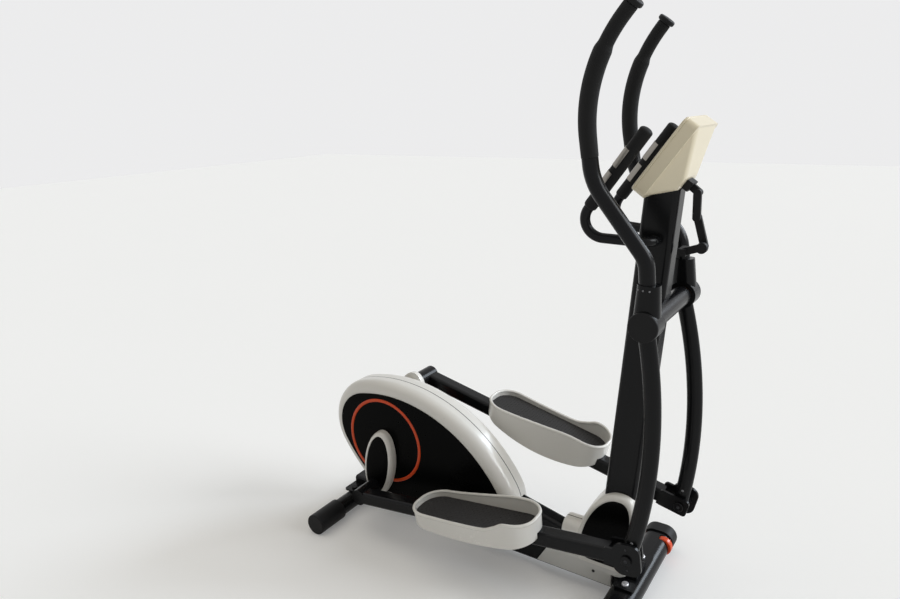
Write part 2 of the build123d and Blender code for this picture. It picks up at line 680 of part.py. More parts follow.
# Right half of the mast-foot cover's form, drawn in by inset and carried down by drop
def hood_half(inset, drop):
    skirt_x = foot_x - SKIRT_BACK + inset
    skirt_front_x = foot_x + SKIRT_AHEAD - inset
    with BuildPart() as half:
        with BuildSketch(upright(foot_x, 0, 0)):
            hull_round(HOOD_ROUNDS, inset)
        extrude(amount=HOOD_HALF - inset)
        fillet(half.faces().sort_by(Axis.Y)[0].edges(), HOOD_EDGE - inset)
        split(bisect_by=Plane.XY.offset(HOOD_FLOOR - drop), keep=Keep.TOP)
        with BuildSketch(across(foot_x - COLLAR_BACK + inset, 0, COLLAR_TOP - inset)):
            with Locations((0, (HOOD_FLOOR - COLLAR_TOP) / 2)):
                RectangleRounded(2 * (COLLAR_HALF - inset), COLLAR_TOP - HOOD_FLOOR, COLLAR_EDGE - inset)
        extrude(amount=COLLAR_BACK)
        with BuildSketch(upright(0, 0, 0)):
            with BuildLine():
                Polyline((skirt_x, SKIRT_BOTTOM - drop), (skirt_front_x, SKIRT_BOTTOM - drop),
                         (skirt_front_x, SKIRT_TOP - inset), (skirt_x + SKIRT_SLANT, SKIRT_TOP - inset),
                         close=True)
            make_face()
        extrude(amount=SKIRT_HALF - inset)
        split(bisect_by=Plane.XZ, keep=Keep.TOP)
    return half.part


# Mast-foot cover: two shells round the mast, with a collar over the boom and a skirt over the rail
with BuildPart() as mast_cover_right:
    add(hood_half(0, 0))
    add(hood_half(HOOD_WALL, HOOD_WALL), mode=Mode.SUBTRACT)
    add(mast_body(MAST_FOOT_Z, MAST_TOP_Z, -GAP), mode=Mode.SUBTRACT)
    with BuildSketch(Plane((foot_x, 0, MAST_FOOT_Z))):
        RectangleRounded(foot_depth + 2 * GAP, foot_width + 2 * GAP, MAST_ROUND)
    extrude(amount=SKIRT_BOTTOM - MAST_FOOT_Z, mode=Mode.SUBTRACT)
    with BuildSketch(boom_rear):
        RectangleRounded(BOOM_WIDTH + 2 * GAP, BOOM_HEIGHT + 2 * GAP, BOOM_ROUND)
    extrude(amount=boom_length, mode=Mode.SUBTRACT)
    with BuildSketch(across(foot_x - SKIRT_BACK, 0, RAIL_BOTTOM)):
        Rectangle(RAIL_WIDTH + 2 * GAP, 2 * (RAIL_TOP - RAIL_BOTTOM + GAP))
    extrude(amount=SKIRT_BACK + FRONT_AHEAD + 2 * RAIL_OVERHANG, mode=Mode.SUBTRACT)
keep(mast_cover_right, "mast_cover_right")

with BuildPart() as mast_cover_left:
    mirror(mast_cover_right.part, about=Plane.XZ)
keep(mast_cover_left, "mast_cover_left")

# Black plates on both faces of the mast-foot cover
with BuildPart() as mast_discs:
    for side, hand in SIDES:
        with BuildSketch(upright(foot_x, side * HOOD_HALF, 0)):
            hull_round(DISC_ROUNDS, 0)
        extrude(amount=-side * DISC_THICK)
    fillet(mast_discs.edges().group_by(Axis.Y)[0], DISC_EDGE)
    fillet(mast_discs.edges().group_by(Axis.Y)[-1], DISC_EDGE)
keep(mast_discs, "mast_discs")

# Drive housing shells, standing on the rail and open for the plates, the boom and the crank axle
with BuildPart() as housing_right:
    add(pod_half(0))
    add(pod_half(POD_WALL), mode=Mode.SUBTRACT)
    with BuildSketch(Plane((CRANK_X + PLATE_FOOT_REACH, 0, RAIL_TOP))):
        Rectangle(PLATE_FOOT_LENGTH + 2 * PLATE_FOOT_HEIGHT, BOOM_WIDTH + 2 * (PLATE_THICK + GAP))
    extrude(amount=POD_WALL, mode=Mode.SUBTRACT)
    with BuildSketch(boom_rear):
        RectangleRounded(BOOM_WIDTH + 2 * GAP, BOOM_HEIGHT + 2 * GAP, BOOM_ROUND)
    extrude(amount=boom_length, mode=Mode.SUBTRACT)
    with BuildSketch(upright(CRANK_X, 0, CRANK_Z)):
        Circle(POD_AXLE_HOLE_R)
    extrude(amount=POD_HALF, mode=Mode.SUBTRACT)
keep(housing_right, "housing_right")

with BuildPart() as housing_left:
    mirror(housing_right.part, about=Plane.XZ)
keep(housing_left, "housing_left")

# Black side panels on the flat sides of the housing
with BuildPart() as side_panels:
    for side, hand in SIDES:
        with BuildSketch(upright(CRANK_X + POD_REACH, side * POD_HALF, POD_Z, POD_LEAN)):
            pod_oval(PANEL_INSET)
        extrude(amount=-side * PANEL_THICK)
    fillet(side_panels.edges().group_by(Axis.Y)[0], PANEL_EDGE)
    fillet(side_panels.edges().group_by(Axis.Y)[-1], PANEL_EDGE)
    split(bisect_by=Plane.XY.offset(RAIL_TOP + PANEL_THICK), keep=Keep.TOP)
    with BuildSketch(upright(CRANK_X, 0, CRANK_Z)):
        Circle(POD_AXLE_HOLE_R)
    extrude(amount=POD_HALF + PANEL_THICK, both=True, mode=Mode.SUBTRACT)
keep(side_panels, "side_panels")

# Orange rings round the crank axis, on the side panels
with BuildPart() as accent_rings:
    for side, hand in SIDES:
        with BuildSketch(upright(CRANK_X, side * (POD_HALF + PANEL_THICK), CRANK_Z)):
            Circle(RING_R + RING_WIDTH / 2)
            Circle(RING_R - RING_WIDTH / 2, mode=Mode.SUBTRACT)
        extrude(amount=-side * RING_THICK)
keep(accent_rings, "accent_rings")

# Ball bearings as plain rings: two in the crank tube, two in the drive plates
with BuildPart() as drive_bearings:
    for ring_y in (BEARING_TUBE_LEFT, BEARING_WIDTH - BEARING_TUBE_RIGHT):
        with BuildSketch(upright(CRANK_X, ring_y, CRANK_Z)):
            Circle(BEARING_R)
            Circle(CRANK_AXLE_R + RUN, mode=Mode.SUBTRACT)
        extrude(amount=BEARING_WIDTH)
    for side, hand in SIDES:
        with BuildSketch(upright(flywheel_x, side * (plate_in + PLATE_THICK / 2), FLYWHEEL_Z)):
            Circle(FLYWHEEL_BEARING_R)
            Circle(FLYWHEEL_SHAFT_R + RUN, mode=Mode.SUBTRACT)
        extrude(amount=FLYWHEEL_BEARING_WIDTH / 2, both=True)
keep(drive_bearings, "drive_bearings")

# Crank axle, from crank to crank
with BuildPart() as crank_axle:
    with BuildSketch(upright(CRANK_X, 0, CRANK_Z)):
        Circle(CRANK_AXLE_R)
    extrude(amount=COVER_OUT - COVER_FACE, both=True)
keep(crank_axle, "crank_axle")

# Large drive pulley on the crank axle: rim, web with round holes, hub
with BuildPart() as drive_pulley:
    with BuildSketch(upright(CRANK_X, PULLEY_Y, CRANK_Z)):
        Circle(PULLEY_R)
        Circle(PULLEY_R - PULLEY_RIM, mode=Mode.SUBTRACT)
        Circle(PULLEY_HUB_R)
        Circle(CRANK_AXLE_R + FIT, mode=Mode.SUBTRACT)
    extrude(amount=-PULLEY_WIDTH)
    with BuildSketch(upright(CRANK_X, PULLEY_Y + (PULLEY_WIDTH - PULLEY_WEB) / 2, CRANK_Z)):
        Circle(PULLEY_R - PULLEY_RIM / 2)
        with PolarLocations((PULLEY_R + PULLEY_HUB_R - PULLEY_RIM) / 2, PULLEY_HOLES):
            Circle(PULLEY_HOLE_R, mode=Mode.SUBTRACT)
        Circle(CRANK_AXLE_R + FIT, mode=Mode.SUBTRACT)
    extrude(amount=-PULLEY_WEB)
keep(drive_pulley, "drive_pulley")

# Flywheel with its shaft and small pulley
with BuildPart() as flywheel:
    with BuildSketch(upright(flywheel_x, 0, FLYWHEEL_Z)):
        Circle(FLYWHEEL_R)
        Circle(FLYWHEEL_R - FLYWHEEL_RIM, mode=Mode.SUBTRACT)
        Circle(FLYWHEEL_HUB_R)
    extrude(amount=FLYWHEEL_WIDTH / 2, both=True)
    with BuildSketch(upright(flywheel_x, 0, FLYWHEEL_Z)):
        Circle(FLYWHEEL_R - FLYWHEEL_RIM / 2)
    extrude(amount=FLYWHEEL_WEB / 2, both=True)
    with BuildSketch(upright(flywheel_x, PULLEY_Y + PULLEY_WIDTH, FLYWHEEL_Z)):
        Circle(FLYWHEEL_SHAFT_R)
    extrude(amount=PULLEY_Y + PULLEY_WIDTH + plate_in + PLATE_THICK + FLYWHEEL_BEARING_WIDTH / 4)
    with BuildSketch(upright(flywheel_x, PULLEY_Y, FLYWHEEL_Z)):
        Circle(FLYWHEEL_PULLEY_R)
    extrude(amount=-PULLEY_WIDTH)
keep(flywheel, "flywheel")

# Drive belt round both pulleys
with BuildPart() as drive_belt:
    with BuildSketch(upright(CRANK_X, PULLEY_Y + (PULLEY_WIDTH - BELT_WIDTH) / 2, CRANK_Z)):
        Circle(PULLEY_R + SEAT + BELT_THICK)
        with Locations((FLYWHEEL_REACH, FLYWHEEL_Z - CRANK_Z)):
            Circle(FLYWHEEL_PULLEY_R + SEAT + BELT_THICK)
        make_hull()
    extrude(amount=-BELT_WIDTH)
    with BuildSketch(upright(CRANK_X, PULLEY_Y + (PULLEY_WIDTH - BELT_WIDTH) / 2, CRANK_Z)):
        Circle(PULLEY_R + SEAT)
        with Locations((FLYWHEEL_REACH, FLYWHEEL_Z - CRANK_Z)):
            Circle(FLYWHEEL_PULLEY_R + SEAT)
        make_hull()
    extrude(amount=-BELT_WIDTH, mode=Mode.SUBTRACT)
keep(drive_belt, "drive_belt")

# Magnet brake: a curved bracket beside the flywheel rim, on a pin between the drive plates
brake_in_r = FLYWHEEL_R + BRAKE_GAP
brake_span = BRAKE_TO - BRAKE_FROM
with BuildPart() as brake_bracket:
    with BuildSketch(upright(flywheel_x, 0, FLYWHEEL_Z)):
        with BuildLine():
            inner_arc = CenterArc((0, 0), brake_in_r, BRAKE_FROM, brake_span)
            outer_arc = CenterArc((0, 0), brake_in_r + BRAKE_THICK, BRAKE_FROM, brake_span)
            Line(inner_arc @ 0, outer_arc @ 0)
            Line(inner_arc @ 1, outer_arc @ 1)
        make_face()
        with Locations(brake_pin):
            Circle(BRAKE_BOSS_R)
    extrude(amount=BRAKE_WIDTH / 2, both=True)
    with BuildSketch(upright(flywheel_x, 0, FLYWHEEL_Z)):
        with Locations(brake_pin):
            Circle(BRAKE_PIN_R)
    extrude(amount=plate_in + PLATE_THICK, both=True)
keep(brake_bracket, "brake_bracket")

# Brake servo on the outside of the right drive plate
with BuildPart() as brake_servo:
    with BuildSketch(upright(CRANK_X + SERVO_REACH, -plate_in - PLATE_THICK, SERVO_Z)):
        RectangleRounded(SERVO_LENGTH, SERVO_HEIGHT, SERVO_ROUND)
    extrude(amount=SERVO_DEPTH)
keep(brake_servo, "brake_servo")

# Crank arms with their pins
with BuildPart() as crank_arms:
    for side, hand in SIDES:
        pin_x, pin_z = pin_of(side)
        with BuildSketch(upright(CRANK_X, side * CRANK_ARM_IN, CRANK_Z)):
            Circle(CRANK_AXLE_END_R)
            with Locations((pin_x - CRANK_X, pin_z - CRANK_Z)):
                Circle(CRANK_PIN_END_R)
            make_hull()
            Circle(CRANK_AXLE_R + FIT, mode=Mode.SUBTRACT)
        extrude(amount=-side * (COVER_OUT - COVER_FACE - CRANK_ARM_IN))
        with BuildSketch(upright(pin_x, side * CRANK_ARM_IN, pin_z)):
            Circle(CRANK_PIN_R)
        extrude(amount=-side * (COVER_OUT - CRANK_ARM_IN))
keep(crank_arms, "crank_arms")

# Crank covers: hollow shells, open to the housing, with a recess for the black face
with BuildPart() as crank_covers:
    for side, hand in SIDES:
        with BuildSketch(upright(CRANK_X, side * COVER_IN, CRANK_Z)):
            cover_outline(side, 0)
        extrude(amount=-side * (COVER_OUT - COVER_IN))
    fillet(crank_covers.edges().group_by(Axis.Y)[0], COVER_EDGE)
    fillet(crank_covers.edges().group_by(Axis.Y)[-1], COVER_EDGE)
    for side, hand in SIDES:
        pin_x, pin_z = pin_of(side)
        with BuildSketch(upright(CRANK_X, side * COVER_IN, CRANK_Z)):
            cover_outline(side, COVER_WALL)
        extrude(amount=-side * (COVER_OUT - COVER_FACE - COVER_IN), mode=Mode.SUBTRACT)
        with BuildSketch(upright(CRANK_X, side * COVER_OUT, CRANK_Z)):
            cover_outline(side, INSERT_BORDER)
        extrude(amount=side * INSERT_THICK, mode=Mode.SUBTRACT)
        with BuildSketch(upright(pin_x, side * COVER_IN, pin_z)):
            Circle(CRANK_PIN_R + FIT)
        extrude(amount=-side * (COVER_OUT - COVER_IN), mode=Mode.SUBTRACT)
keep(crank_covers, "crank_covers")

# Black faces let into the crank covers
with BuildPart() as crank_inserts:
    for side, hand in SIDES:
        pin_x, pin_z = pin_of(side)
        with BuildSketch(upright(CRANK_X, side * COVER_OUT, CRANK_Z)):
            cover_outline(side, INSERT_BORDER + FIT)
            with Locations((pin_x - CRANK_X, pin_z - CRANK_Z)):
                Circle(CRANK_PIN_R + FIT, mode=Mode.SUBTRACT)
        extrude(amount=side * INSERT_THICK)
keep(crank_inserts, "crank_inserts")

# Pedal arms, foot cups, mats, lower pins, swing arms and moving handlebars, one set for each side
arm_top = ARM_HEIGHT / 2 - ARM_DROP
cup_middle = (CUP_HEEL + CUP_TOE) / 2
cup_y = (CUP_IN + CUP_OUT) / 2
cup_length = CUP_TOE - CUP_HEEL
cup_width = CUP_OUT - CUP_IN
floor_top = arm_top + CUP_FLOOR
fork_in = EYE_WIDTH / 2 + EYE_SIDE_GAP
cheek_length = FORK_SETBACK + FORK_YOKE + FORK_R
draft = tan(radians(CUP_FLARE))
for side, hand in SIDES:
    pin_x, pin_z = pin_of(side)
    slope = arm_slope(side)
    nose = Vector(cos(radians(slope)), 0, sin(radians(slope)))
    lift = Vector(-sin(radians(slope)), 0, cos(radians(slope)))
    pin_point = Vector(pin_x, 0, pin_z)
    outward = Vector(0, side, 0)
    joint_x, joint_z = joint_of(side)

    with BuildPart() as pedal_arm:
        tube_end = PEDAL_ARM_LENGTH - FORK_SETBACK
        tube_start = pin_point + outward * ARM_Y - lift * ARM_DROP
        with BuildSketch(Plane(origin=tube_start, x_dir=(0, 1, 0), z_dir=nose)):
            RectangleRounded(ARM_WIDTH, ARM_HEIGHT, ARM_ROUND)
        extrude(amount=tube_end)
        with BuildSketch(Plane(origin=tube_start, x_dir=(0, 1, 0), z_dir=nose)):
            RectangleRounded(ARM_WIDTH - 2 * ARM_WALL, ARM_HEIGHT - 2 * ARM_WALL, ARM_ROUND - ARM_WALL)
        extrude(amount=tube_end - FORK_YOKE, mode=Mode.SUBTRACT)
        for edge in (-1, 1):
            cheek_y = side * ARM_Y + edge * (fork_in + FORK_THICK / 2)
            with BuildSketch(upright(pin_x, cheek_y, pin_z, slope)):
                with Locations((PEDAL_ARM_LENGTH + FORK_R - cheek_length / 2, 0)):
                    RectangleRounded(cheek_length, 2 * FORK_R, FORK_EDGE)
                if edge == side:
                    with Locations((PEDAL_ARM_LENGTH, 0)):
                        RectangleRounded(FORK_COVER_LENGTH, FORK_COVER_HEIGHT, FORK_COVER_ROUND)
            extrude(amount=FORK_THICK / 2, both=True)
        with BuildSketch(upright(pin_x, side * ARM_Y, pin_z, slope)):
            with Locations((tube_end - FORK_YOKE / 2, -ARM_DROP)):
                Rectangle(FORK_YOKE, ARM_HEIGHT)
        extrude(amount=fork_in + FORK_THICK, both=True)
        with BuildSketch(upright(pin_x, side * (COVER_OUT + GAP), pin_z)):
            Circle(BOSS_R)
        extrude(amount=-side * (ARM_Y + ARM_WIDTH / 2 - COVER_OUT - GAP))
        with BuildSketch(upright(pin_x, side * (COVER_OUT + GAP), pin_z)):
            Circle(BOSS_BORE_R)
        extrude(amount=-side * BOSS_BORE_DEPTH, mode=Mode.SUBTRACT)
        with BuildSketch(upright(joint_x, 0, joint_z)):
            Circle(PIN_R + RUN)
        extrude(amount=-side * CUP_OUT, mode=Mode.SUBTRACT)
    keep(pedal_arm, f"pedal_arm_{hand}")

    with BuildPart() as pedal:
        deck = pin_point + nose * cup_middle + outward * cup_y
        with BuildSketch(Plane(origin=deck + lift * CUP_TOP, x_dir=nose, z_dir=lift)):
            RectangleRounded(cup_length, cup_width, CUP_ROUND)
        extrude(amount=-CUP_TOP - CUP_DEEP, taper=CUP_FLARE)
        with BuildSketch(Plane(origin=deck + lift * CUP_TOP, x_dir=nose, z_dir=lift)):
            RectangleRounded(cup_length - 2 * CUP_WALL, cup_width - 2 * CUP_WALL, CUP_ROUND - CUP_WALL)
        extrude(amount=floor_top - CUP_TOP, taper=CUP_FLARE, mode=Mode.SUBTRACT)
        under = CUP_WALL + (CUP_TOP - arm_top) * draft
        with BuildSketch(Plane(origin=deck + lift * arm_top, x_dir=nose, z_dir=lift)):
            RectangleRounded(cup_length - 2 * under, cup_width - 2 * under, CUP_ROUND - under)
        extrude(amount=-arm_top - CUP_DEEP, taper=CUP_FLARE, mode=Mode.SUBTRACT)
        slot = pin_point + outward * ARM_Y + lift * arm_top
        with BuildSketch(Plane(origin=slot, x_dir=(0, 1, 0), z_dir=nose)):
            Rectangle(ARM_WIDTH + 2, arm_top + CUP_DEEP, align=(Align.CENTER, Align.MAX))
        extrude(amount=tube_end, mode=Mode.SUBTRACT)
        for away, rim, belly in ((1, OUTER_RIM, SKIRT_OUTER), (-1, INNER_RIM, SKIRT_INNER)):
            with BuildSketch(upright(pin_x, side * cup_y, pin_z, slope)):
                with BuildLine():
                    edge_line = Spline(*[(CUP_HEEL + along, rise) for along, rise in rim])
                    Polyline(edge_line @ 0, (CUP_HEEL + rim[0][0], CUP_TOP + CUP_WALL),
                             (CUP_HEEL + rim[-1][0], CUP_TOP + CUP_WALL), edge_line @ 1)
                make_face()
            extrude(amount=-side * away * cup_width, mode=Mode.SUBTRACT)
            with BuildSketch(upright(pin_x, side * cup_y, pin_z, slope)):
                with BuildLine():
                    keel = ThreePointArc((CUP_HEEL, SKIRT_END), (cup_middle, belly), (CUP_TOE, SKIRT_END))
                    Polyline(keel @ 0, (CUP_HEEL, -2 * CUP_DEEP), (CUP_TOE, -2 * CUP_DEEP), keel @ 1)
                make_face()
            extrude(amount=-side * away * cup_width, mode=Mode.SUBTRACT)
    keep(pedal, f"pedal_{hand}")

    with BuildPart() as pedal_mat:
        border = CUP_WALL + (CUP_TOP - floor_top) * draft + MAT_GAP
        with BuildSketch(Plane(origin=deck + lift * floor_top, x_dir=nose, z_dir=lift)):
            RectangleRounded(cup_length - 2 * border, cup_width - 2 * border, CUP_ROUND - border)
        extrude(amount=MAT_THICK)
    keep(pedal_mat, f"pedal_mat_{hand}")

    with BuildPart() as lower_pin:
        pin_half = fork_in + FORK_THICK
        with BuildSketch(upright(joint_x, side * ARM_Y, joint_z)):
            Circle(PIN_R)
        extrude(amount=pin_half, both=True)
        for edge in (-1, 1):
            with BuildSketch(upright(joint_x, side * ARM_Y + edge * (pin_half + SEAT), joint_z)):
                Circle(PIN_HEAD_R)
            extrude(amount=-edge * PIN_HEAD)
            with BuildSketch(upright(joint_x, side * ARM_Y + edge * pin_half, joint_z)):
                Circle(PIN_R)
            extrude(amount=-edge * SEAT)
        fillet(lower_pin.edges().group_by(Axis.Y)[0], PIN_HEAD / 3)
        fillet(lower_pin.edges().group_by(Axis.Y)[-1], PIN_HEAD / 3)
    keep(lower_pin, f"lower_pin_{hand}")

    turn = swing_turn(side)
    swing_plane = upright(PIVOT_X, side * ARM_Y, PIVOT_Z, turn)
    bends = [Vector(0, HANDLE_SOCKET, 0)]
    for ahead, rise, out in (HANDLE_BEND, HANDLE_KNEE, HANDLE_CROWN, HANDLE_END):
        bends.append(Vector(ahead, rise, -side * out))
    start, bend, knee, crown, end = [swing_plane.from_local_coords(point) for point in bends]
    split_point = knee + (crown - knee) * GRIP_SPLIT
    with BuildPart() as swing_arm:
        with BuildLine(swing_plane):
            bow = ThreePointArc((0, -PIVOT_BOSS_R / 2), (SWING_BOW, -SWING_LENGTH / 2),
                                (0, EYE_R / 2 - SWING_LENGTH))
        with BuildSketch(Plane(origin=bow @ 0, x_dir=(0, 1, 0), z_dir=bow % 0)):
            Ellipse(SWING_FLAT, SWING_DEEP)
            Ellipse(SWING_FLAT - SWING_WALL, SWING_DEEP - SWING_WALL, mode=Mode.SUBTRACT)
        sweep(path=bow)
        with BuildSketch(swing_plane):
            Circle(PIVOT_BOSS_R)
        extrude(amount=(PIVOT_BOSS_OUT - PIVOT_BOSS_IN) / 2, both=True)
        with BuildSketch(swing_plane):
            with Locations((0, -SWING_LENGTH)):
                Circle(EYE_R)
        extrude(amount=EYE_WIDTH / 2, both=True)
        for rise, length in ((SLEEVE_FROM, SLEEVE_FOOT), (SLEEVE_TO, SLEEVE_TIP)):
            sleeve_plane = Plane(origin=swing_plane.from_local_coords((0, rise, 0)), x_dir=swing_plane.x_dir,
                                 z_dir=swing_plane.y_dir)
            with BuildSketch(sleeve_plane):
                RectangleRounded(length, SLEEVE_WIDTH, SLEEVE_ROUND)
        loft()
        with BuildSketch(swing_plane):
            Circle(BUSH_R + RUN)
            with Locations((0, -SWING_LENGTH)):
                Circle(PIN_R + RUN)
        extrude(amount=PIVOT_BOSS_OUT, both=True, mode=Mode.SUBTRACT)
        with BuildSketch(Plane(origin=start, x_dir=(0, 1, 0), z_dir=bend - start)):
            Circle(HANDLE_R + FIT)
        extrude(amount=SLEEVE_TO, mode=Mode.SUBTRACT)
    keep(swing_arm, f"swing_arm_{hand}")

    with BuildPart() as pivot_cap:
        with BuildSketch(upright(PIVOT_X, side * PIVOT_BOSS_OUT, PIVOT_Z)):
            Circle(PIVOT_BOSS_R)
        extrude(amount=-side * PIVOT_CAP)
        fillet(pivot_cap.edges().group_by(Axis.Y)[0 if side < 0 else -1], PIVOT_CAP_EDGE)
    keep(pivot_cap, f"pivot_cap_{hand}")

    with BuildPart() as handlebar:
        with BuildLine():
            stem = FilletPolyline(start, bend, knee, split_point, radius=[HANDLE_BEND_R, HANDLE_KNEE_R])
        with BuildSketch(Plane(origin=stem @ 0, x_dir=(0, 1, 0), z_dir=stem % 0)):
            Circle(HANDLE_R)
            Circle(HANDLE_R - HANDLE_WALL, mode=Mode.SUBTRACT)
        sweep(path=stem)
        with BuildLine():
            horn = FilletPolyline(split_point, crown, end, radius=HANDLE_CROWN_R)
        with BuildSketch(Plane(origin=horn @ 0, x_dir=(0, 1, 0), z_dir=horn % 0)):
            Circle(HANDLE_TOP_R)
            Circle(HANDLE_TOP_R - HANDLE_TOP_WALL, mode=Mode.SUBTRACT)
        sweep(path=horn)
    keep(handlebar, f"handlebar_{hand}")

    with BuildPart() as handle_grip:
        with BuildSketch(Plane(origin=horn @ 0, x_dir=(0, 1, 0), z_dir=horn % 0)):
            Circle(GRIP_R)
            Circle(HANDLE_TOP_R + FIT, mode=Mode.SUBTRACT)
        sweep(path=horn)
    keep(handle_grip, f"handle_grip_{hand}")

    with BuildPart() as grip_cap:
        cap_plane = Plane(origin=horn @ 1, x_dir=(0, 1, 0), z_dir=horn % 1)
        with BuildSketch(cap_plane):
            Circle(GRIP_CAP_R)
        extrude(amount=GRIP_CAP)
        fillet(grip_cap.edges().filter_by(GeomType.CIRCLE), GRIP_CAP_EDGE)
        with BuildSketch(cap_plane):
            Circle(HANDLE_TOP_R - HANDLE_TOP_WALL - SEAT)
        extrude(amount=-GRIP_PLUG)
    keep(grip_cap, f"grip_cap_{hand}")

# Fixed handlebar: one bent tube through the mast
bar_dir = Vector(cos(radians(BAR_RAKE)), 0, sin(radians(BAR_RAKE)))
bar_points = []
for side in (1, -1):
    corner = Vector(bar_x - BAR_BACK, side * BAR_Y, BAR_BEND_Z)
    stub = Vector(bar_x, side * BAR_STUB, BAR_Z)
    half = [corner + bar_dir * BAR_GRIP, corner, stub]
    bar_points += half if side > 0 else half[::-1]
with BuildPart() as fixed_handlebar:
    with BuildLine():
        bar_line = FilletPolyline(*bar_points, radius=[BAR_BEND_R, BAR_STUB_R, BAR_STUB_R, BAR_BEND_R])
    with BuildSketch(Plane(origin=bar_line @ 0, x_dir=(0, 1, 0), z_dir=bar_line % 0)):
        Circle(BAR_R)
        Circle(BAR_R - BAR_WALL, mode=Mode.SUBTRACT)
    sweep(path=bar_line)
keep(fixed_handlebar, "fixed_handlebar")

# Foam grips over the bar ends, closed at the top
with BuildPart() as pulse_grips:
    for side, hand in SIDES:
        corner = Vector(bar_x - BAR_BACK, side * BAR_Y, BAR_BEND_Z)
        with BuildSketch(Plane(origin=corner + bar_dir * FOAM_FROM, x_dir=(0, 1, 0), z_dir=bar_dir)):
            Circle(FOAM_R)
        extrude(amount=BAR_GRIP + FOAM_END - FOAM_FROM)
    fillet(pulse_grips.edges().filter_by(GeomType.CIRCLE).group_by(Axis.Z)[-1], FOAM_END - 1)
    for side, hand in SIDES:
        corner = Vector(bar_x - BAR_BACK, side * BAR_Y, BAR_BEND_Z)
        with BuildSketch(Plane(origin=corner + bar_dir * FOAM_FROM, x_dir=(0, 1, 0), z_dir=bar_dir)):
            Circle(BAR_R + FIT)
        extrude(amount=BAR_GRIP - FOAM_FROM, mode=Mode.SUBTRACT)
keep(pulse_grips, "pulse_grips")

# Metal pulse plates on the user's side of the grips, two on each
with BuildPart() as pulse_sensors:
    for side, hand in SIDES:
        corner = Vector(bar_x - BAR_BACK, side * BAR_Y, BAR_BEND_Z)
        for step in (-1, 1):
            middle = corner + bar_dir * (SENSOR_UP + step * SENSOR_SPACING / 2)
            with BuildSketch(Plane(origin=middle, x_dir=(0, 1, 0), z_dir=bar_dir)):
                Circle(FOAM_R + SENSOR_PROUD)
                Circle(FOAM_R + FIT, mode=Mode.SUBTRACT)
                with Locations((0, -FOAM_R)):
                    Rectangle(4 * FOAM_R, 2 * FOAM_R + SENSOR_PROUD, mode=Mode.SUBTRACT)
            extrude(amount=SENSOR_LENGTH / 2, both=True)
keep(pulse_sensors, "pulse_sensors")

# Console case: a box behind the face that narrows to a hump over the mast
with BuildPart() as console_back:
    for inset, mode in ((0, Mode.ADD), (CASE_WALL, Mode.SUBTRACT)):
        with BuildSketch(face_plane.offset(-FACE_THICK)):
            with Locations((0, FACE_LENGTH / 2)):
                RectangleRounded(FACE_WIDTH - 2 * inset, FACE_LENGTH - 2 * inset, FACE_ROUND - inset)
        extrude(amount=FACE_THICK - CASE_DEPTH + inset, mode=mode)
        with BuildSketch(face_plane.offset(inset - CASE_DEPTH)):
            with Locations((0, FACE_LENGTH / 2)):
                RectangleRounded(FACE_WIDTH - 2 * (CASE_TAPER + inset),
                                 FACE_LENGTH - 2 * (CASE_TAPER + inset), FACE_ROUND - inset)
        with BuildSketch(face_plane.offset(inset - CASE_HUMP)):
            with Locations((0, (HUMP_FROM + HUMP_TO) / 2)):
                RectangleRounded(HUMP_WIDTH - 2 * inset, HUMP_TO - HUMP_FROM - 2 * inset, FACE_ROUND - inset)
        loft(mode=mode)
keep(console_back, "console_back")

# Console face with a recess for the display and holes for the buttons
button_row = [(step * BUTTON_PITCH, BUTTON_UP) for step in (-1, 0, 1)]
with BuildPart() as console_face:
    with BuildSketch(face_plane):
        with Locations((0, FACE_LENGTH / 2)):
            RectangleRounded(FACE_WIDTH, FACE_LENGTH, FACE_ROUND)
    extrude(amount=-FACE_THICK)
    fillet(console_face.faces().filter_by(face_plane).edges(), FACE_EDGE)
    with BuildSketch(face_plane):
        with Locations((0, SCREEN_UP)):
            RectangleRounded(SCREEN_WIDTH, SCREEN_HEIGHT, SCREEN_ROUND)
    extrude(amount=-SCREEN_THICK, mode=Mode.SUBTRACT)
    with BuildSketch(face_plane):
        with Locations(*button_row):
            Circle(BUTTON_R + SEAT)
    extrude(amount=-FACE_THICK, mode=Mode.SUBTRACT)
keep(console_face, "console_face")

# Display pane, flush with the face
with BuildPart() as console_display:
    with BuildSketch(face_plane):
        with Locations((0, SCREEN_UP)):
            RectangleRounded(SCREEN_WIDTH - 2 * FIT, SCREEN_HEIGHT - 2 * FIT, SCREEN_ROUND)
    extrude(amount=-SCREEN_THICK)
keep(console_display, "console_display")

# Three push buttons below the display
for spot, name in zip(button_row, ("button_down", "button_start", "button_up")):
    with BuildPart() as button:
        with BuildSketch(face_plane.offset(BUTTON_PROUD)):
            with Locations(spot):
                Circle(BUTTON_R)
        extrude(amount=-BUTTON_LENGTH)
        fillet(button.edges().filter_by(GeomType.CIRCLE).sort_by(Axis.Z)[-1], BUTTON_EDGE)
    keep(button, name)

# Device holder: clamp on the console hump, two links and a head, joined side by side
shoulder = before_mast(SHOULDER_GAP, SHOULDER_RISE)
elbow = before_mast(ELBOW_GAP, ELBOW_RISE)
wrist = before_mast(WRIST_GAP, WRIST_RISE)
head_tip = before_mast(HEAD_GAP, HEAD_RISE)


# Flat link in an upright lane, hulled round its two ends
def link_plate(from_point, to_point, y):
    with BuildSketch(upright(from_point.X, y, from_point.Z)) as outline:
        Circle(LINK_R)
        with Locations((to_point.X - from_point.X, to_point.Z - from_point.Z)):
            Circle(LINK_R)
        make_hull()
    extrude(outline.sketch, amount=LINK_LANE / 2, both=True)


# Bore or pin along Y at a joint of the holder
def cross_pin(point, y, radius, length, mode):
    with BuildSketch(upright(point.X, y, point.Z)) as ring:
        Circle(radius)
    extrude(ring.sketch, amount=length, mode=mode)


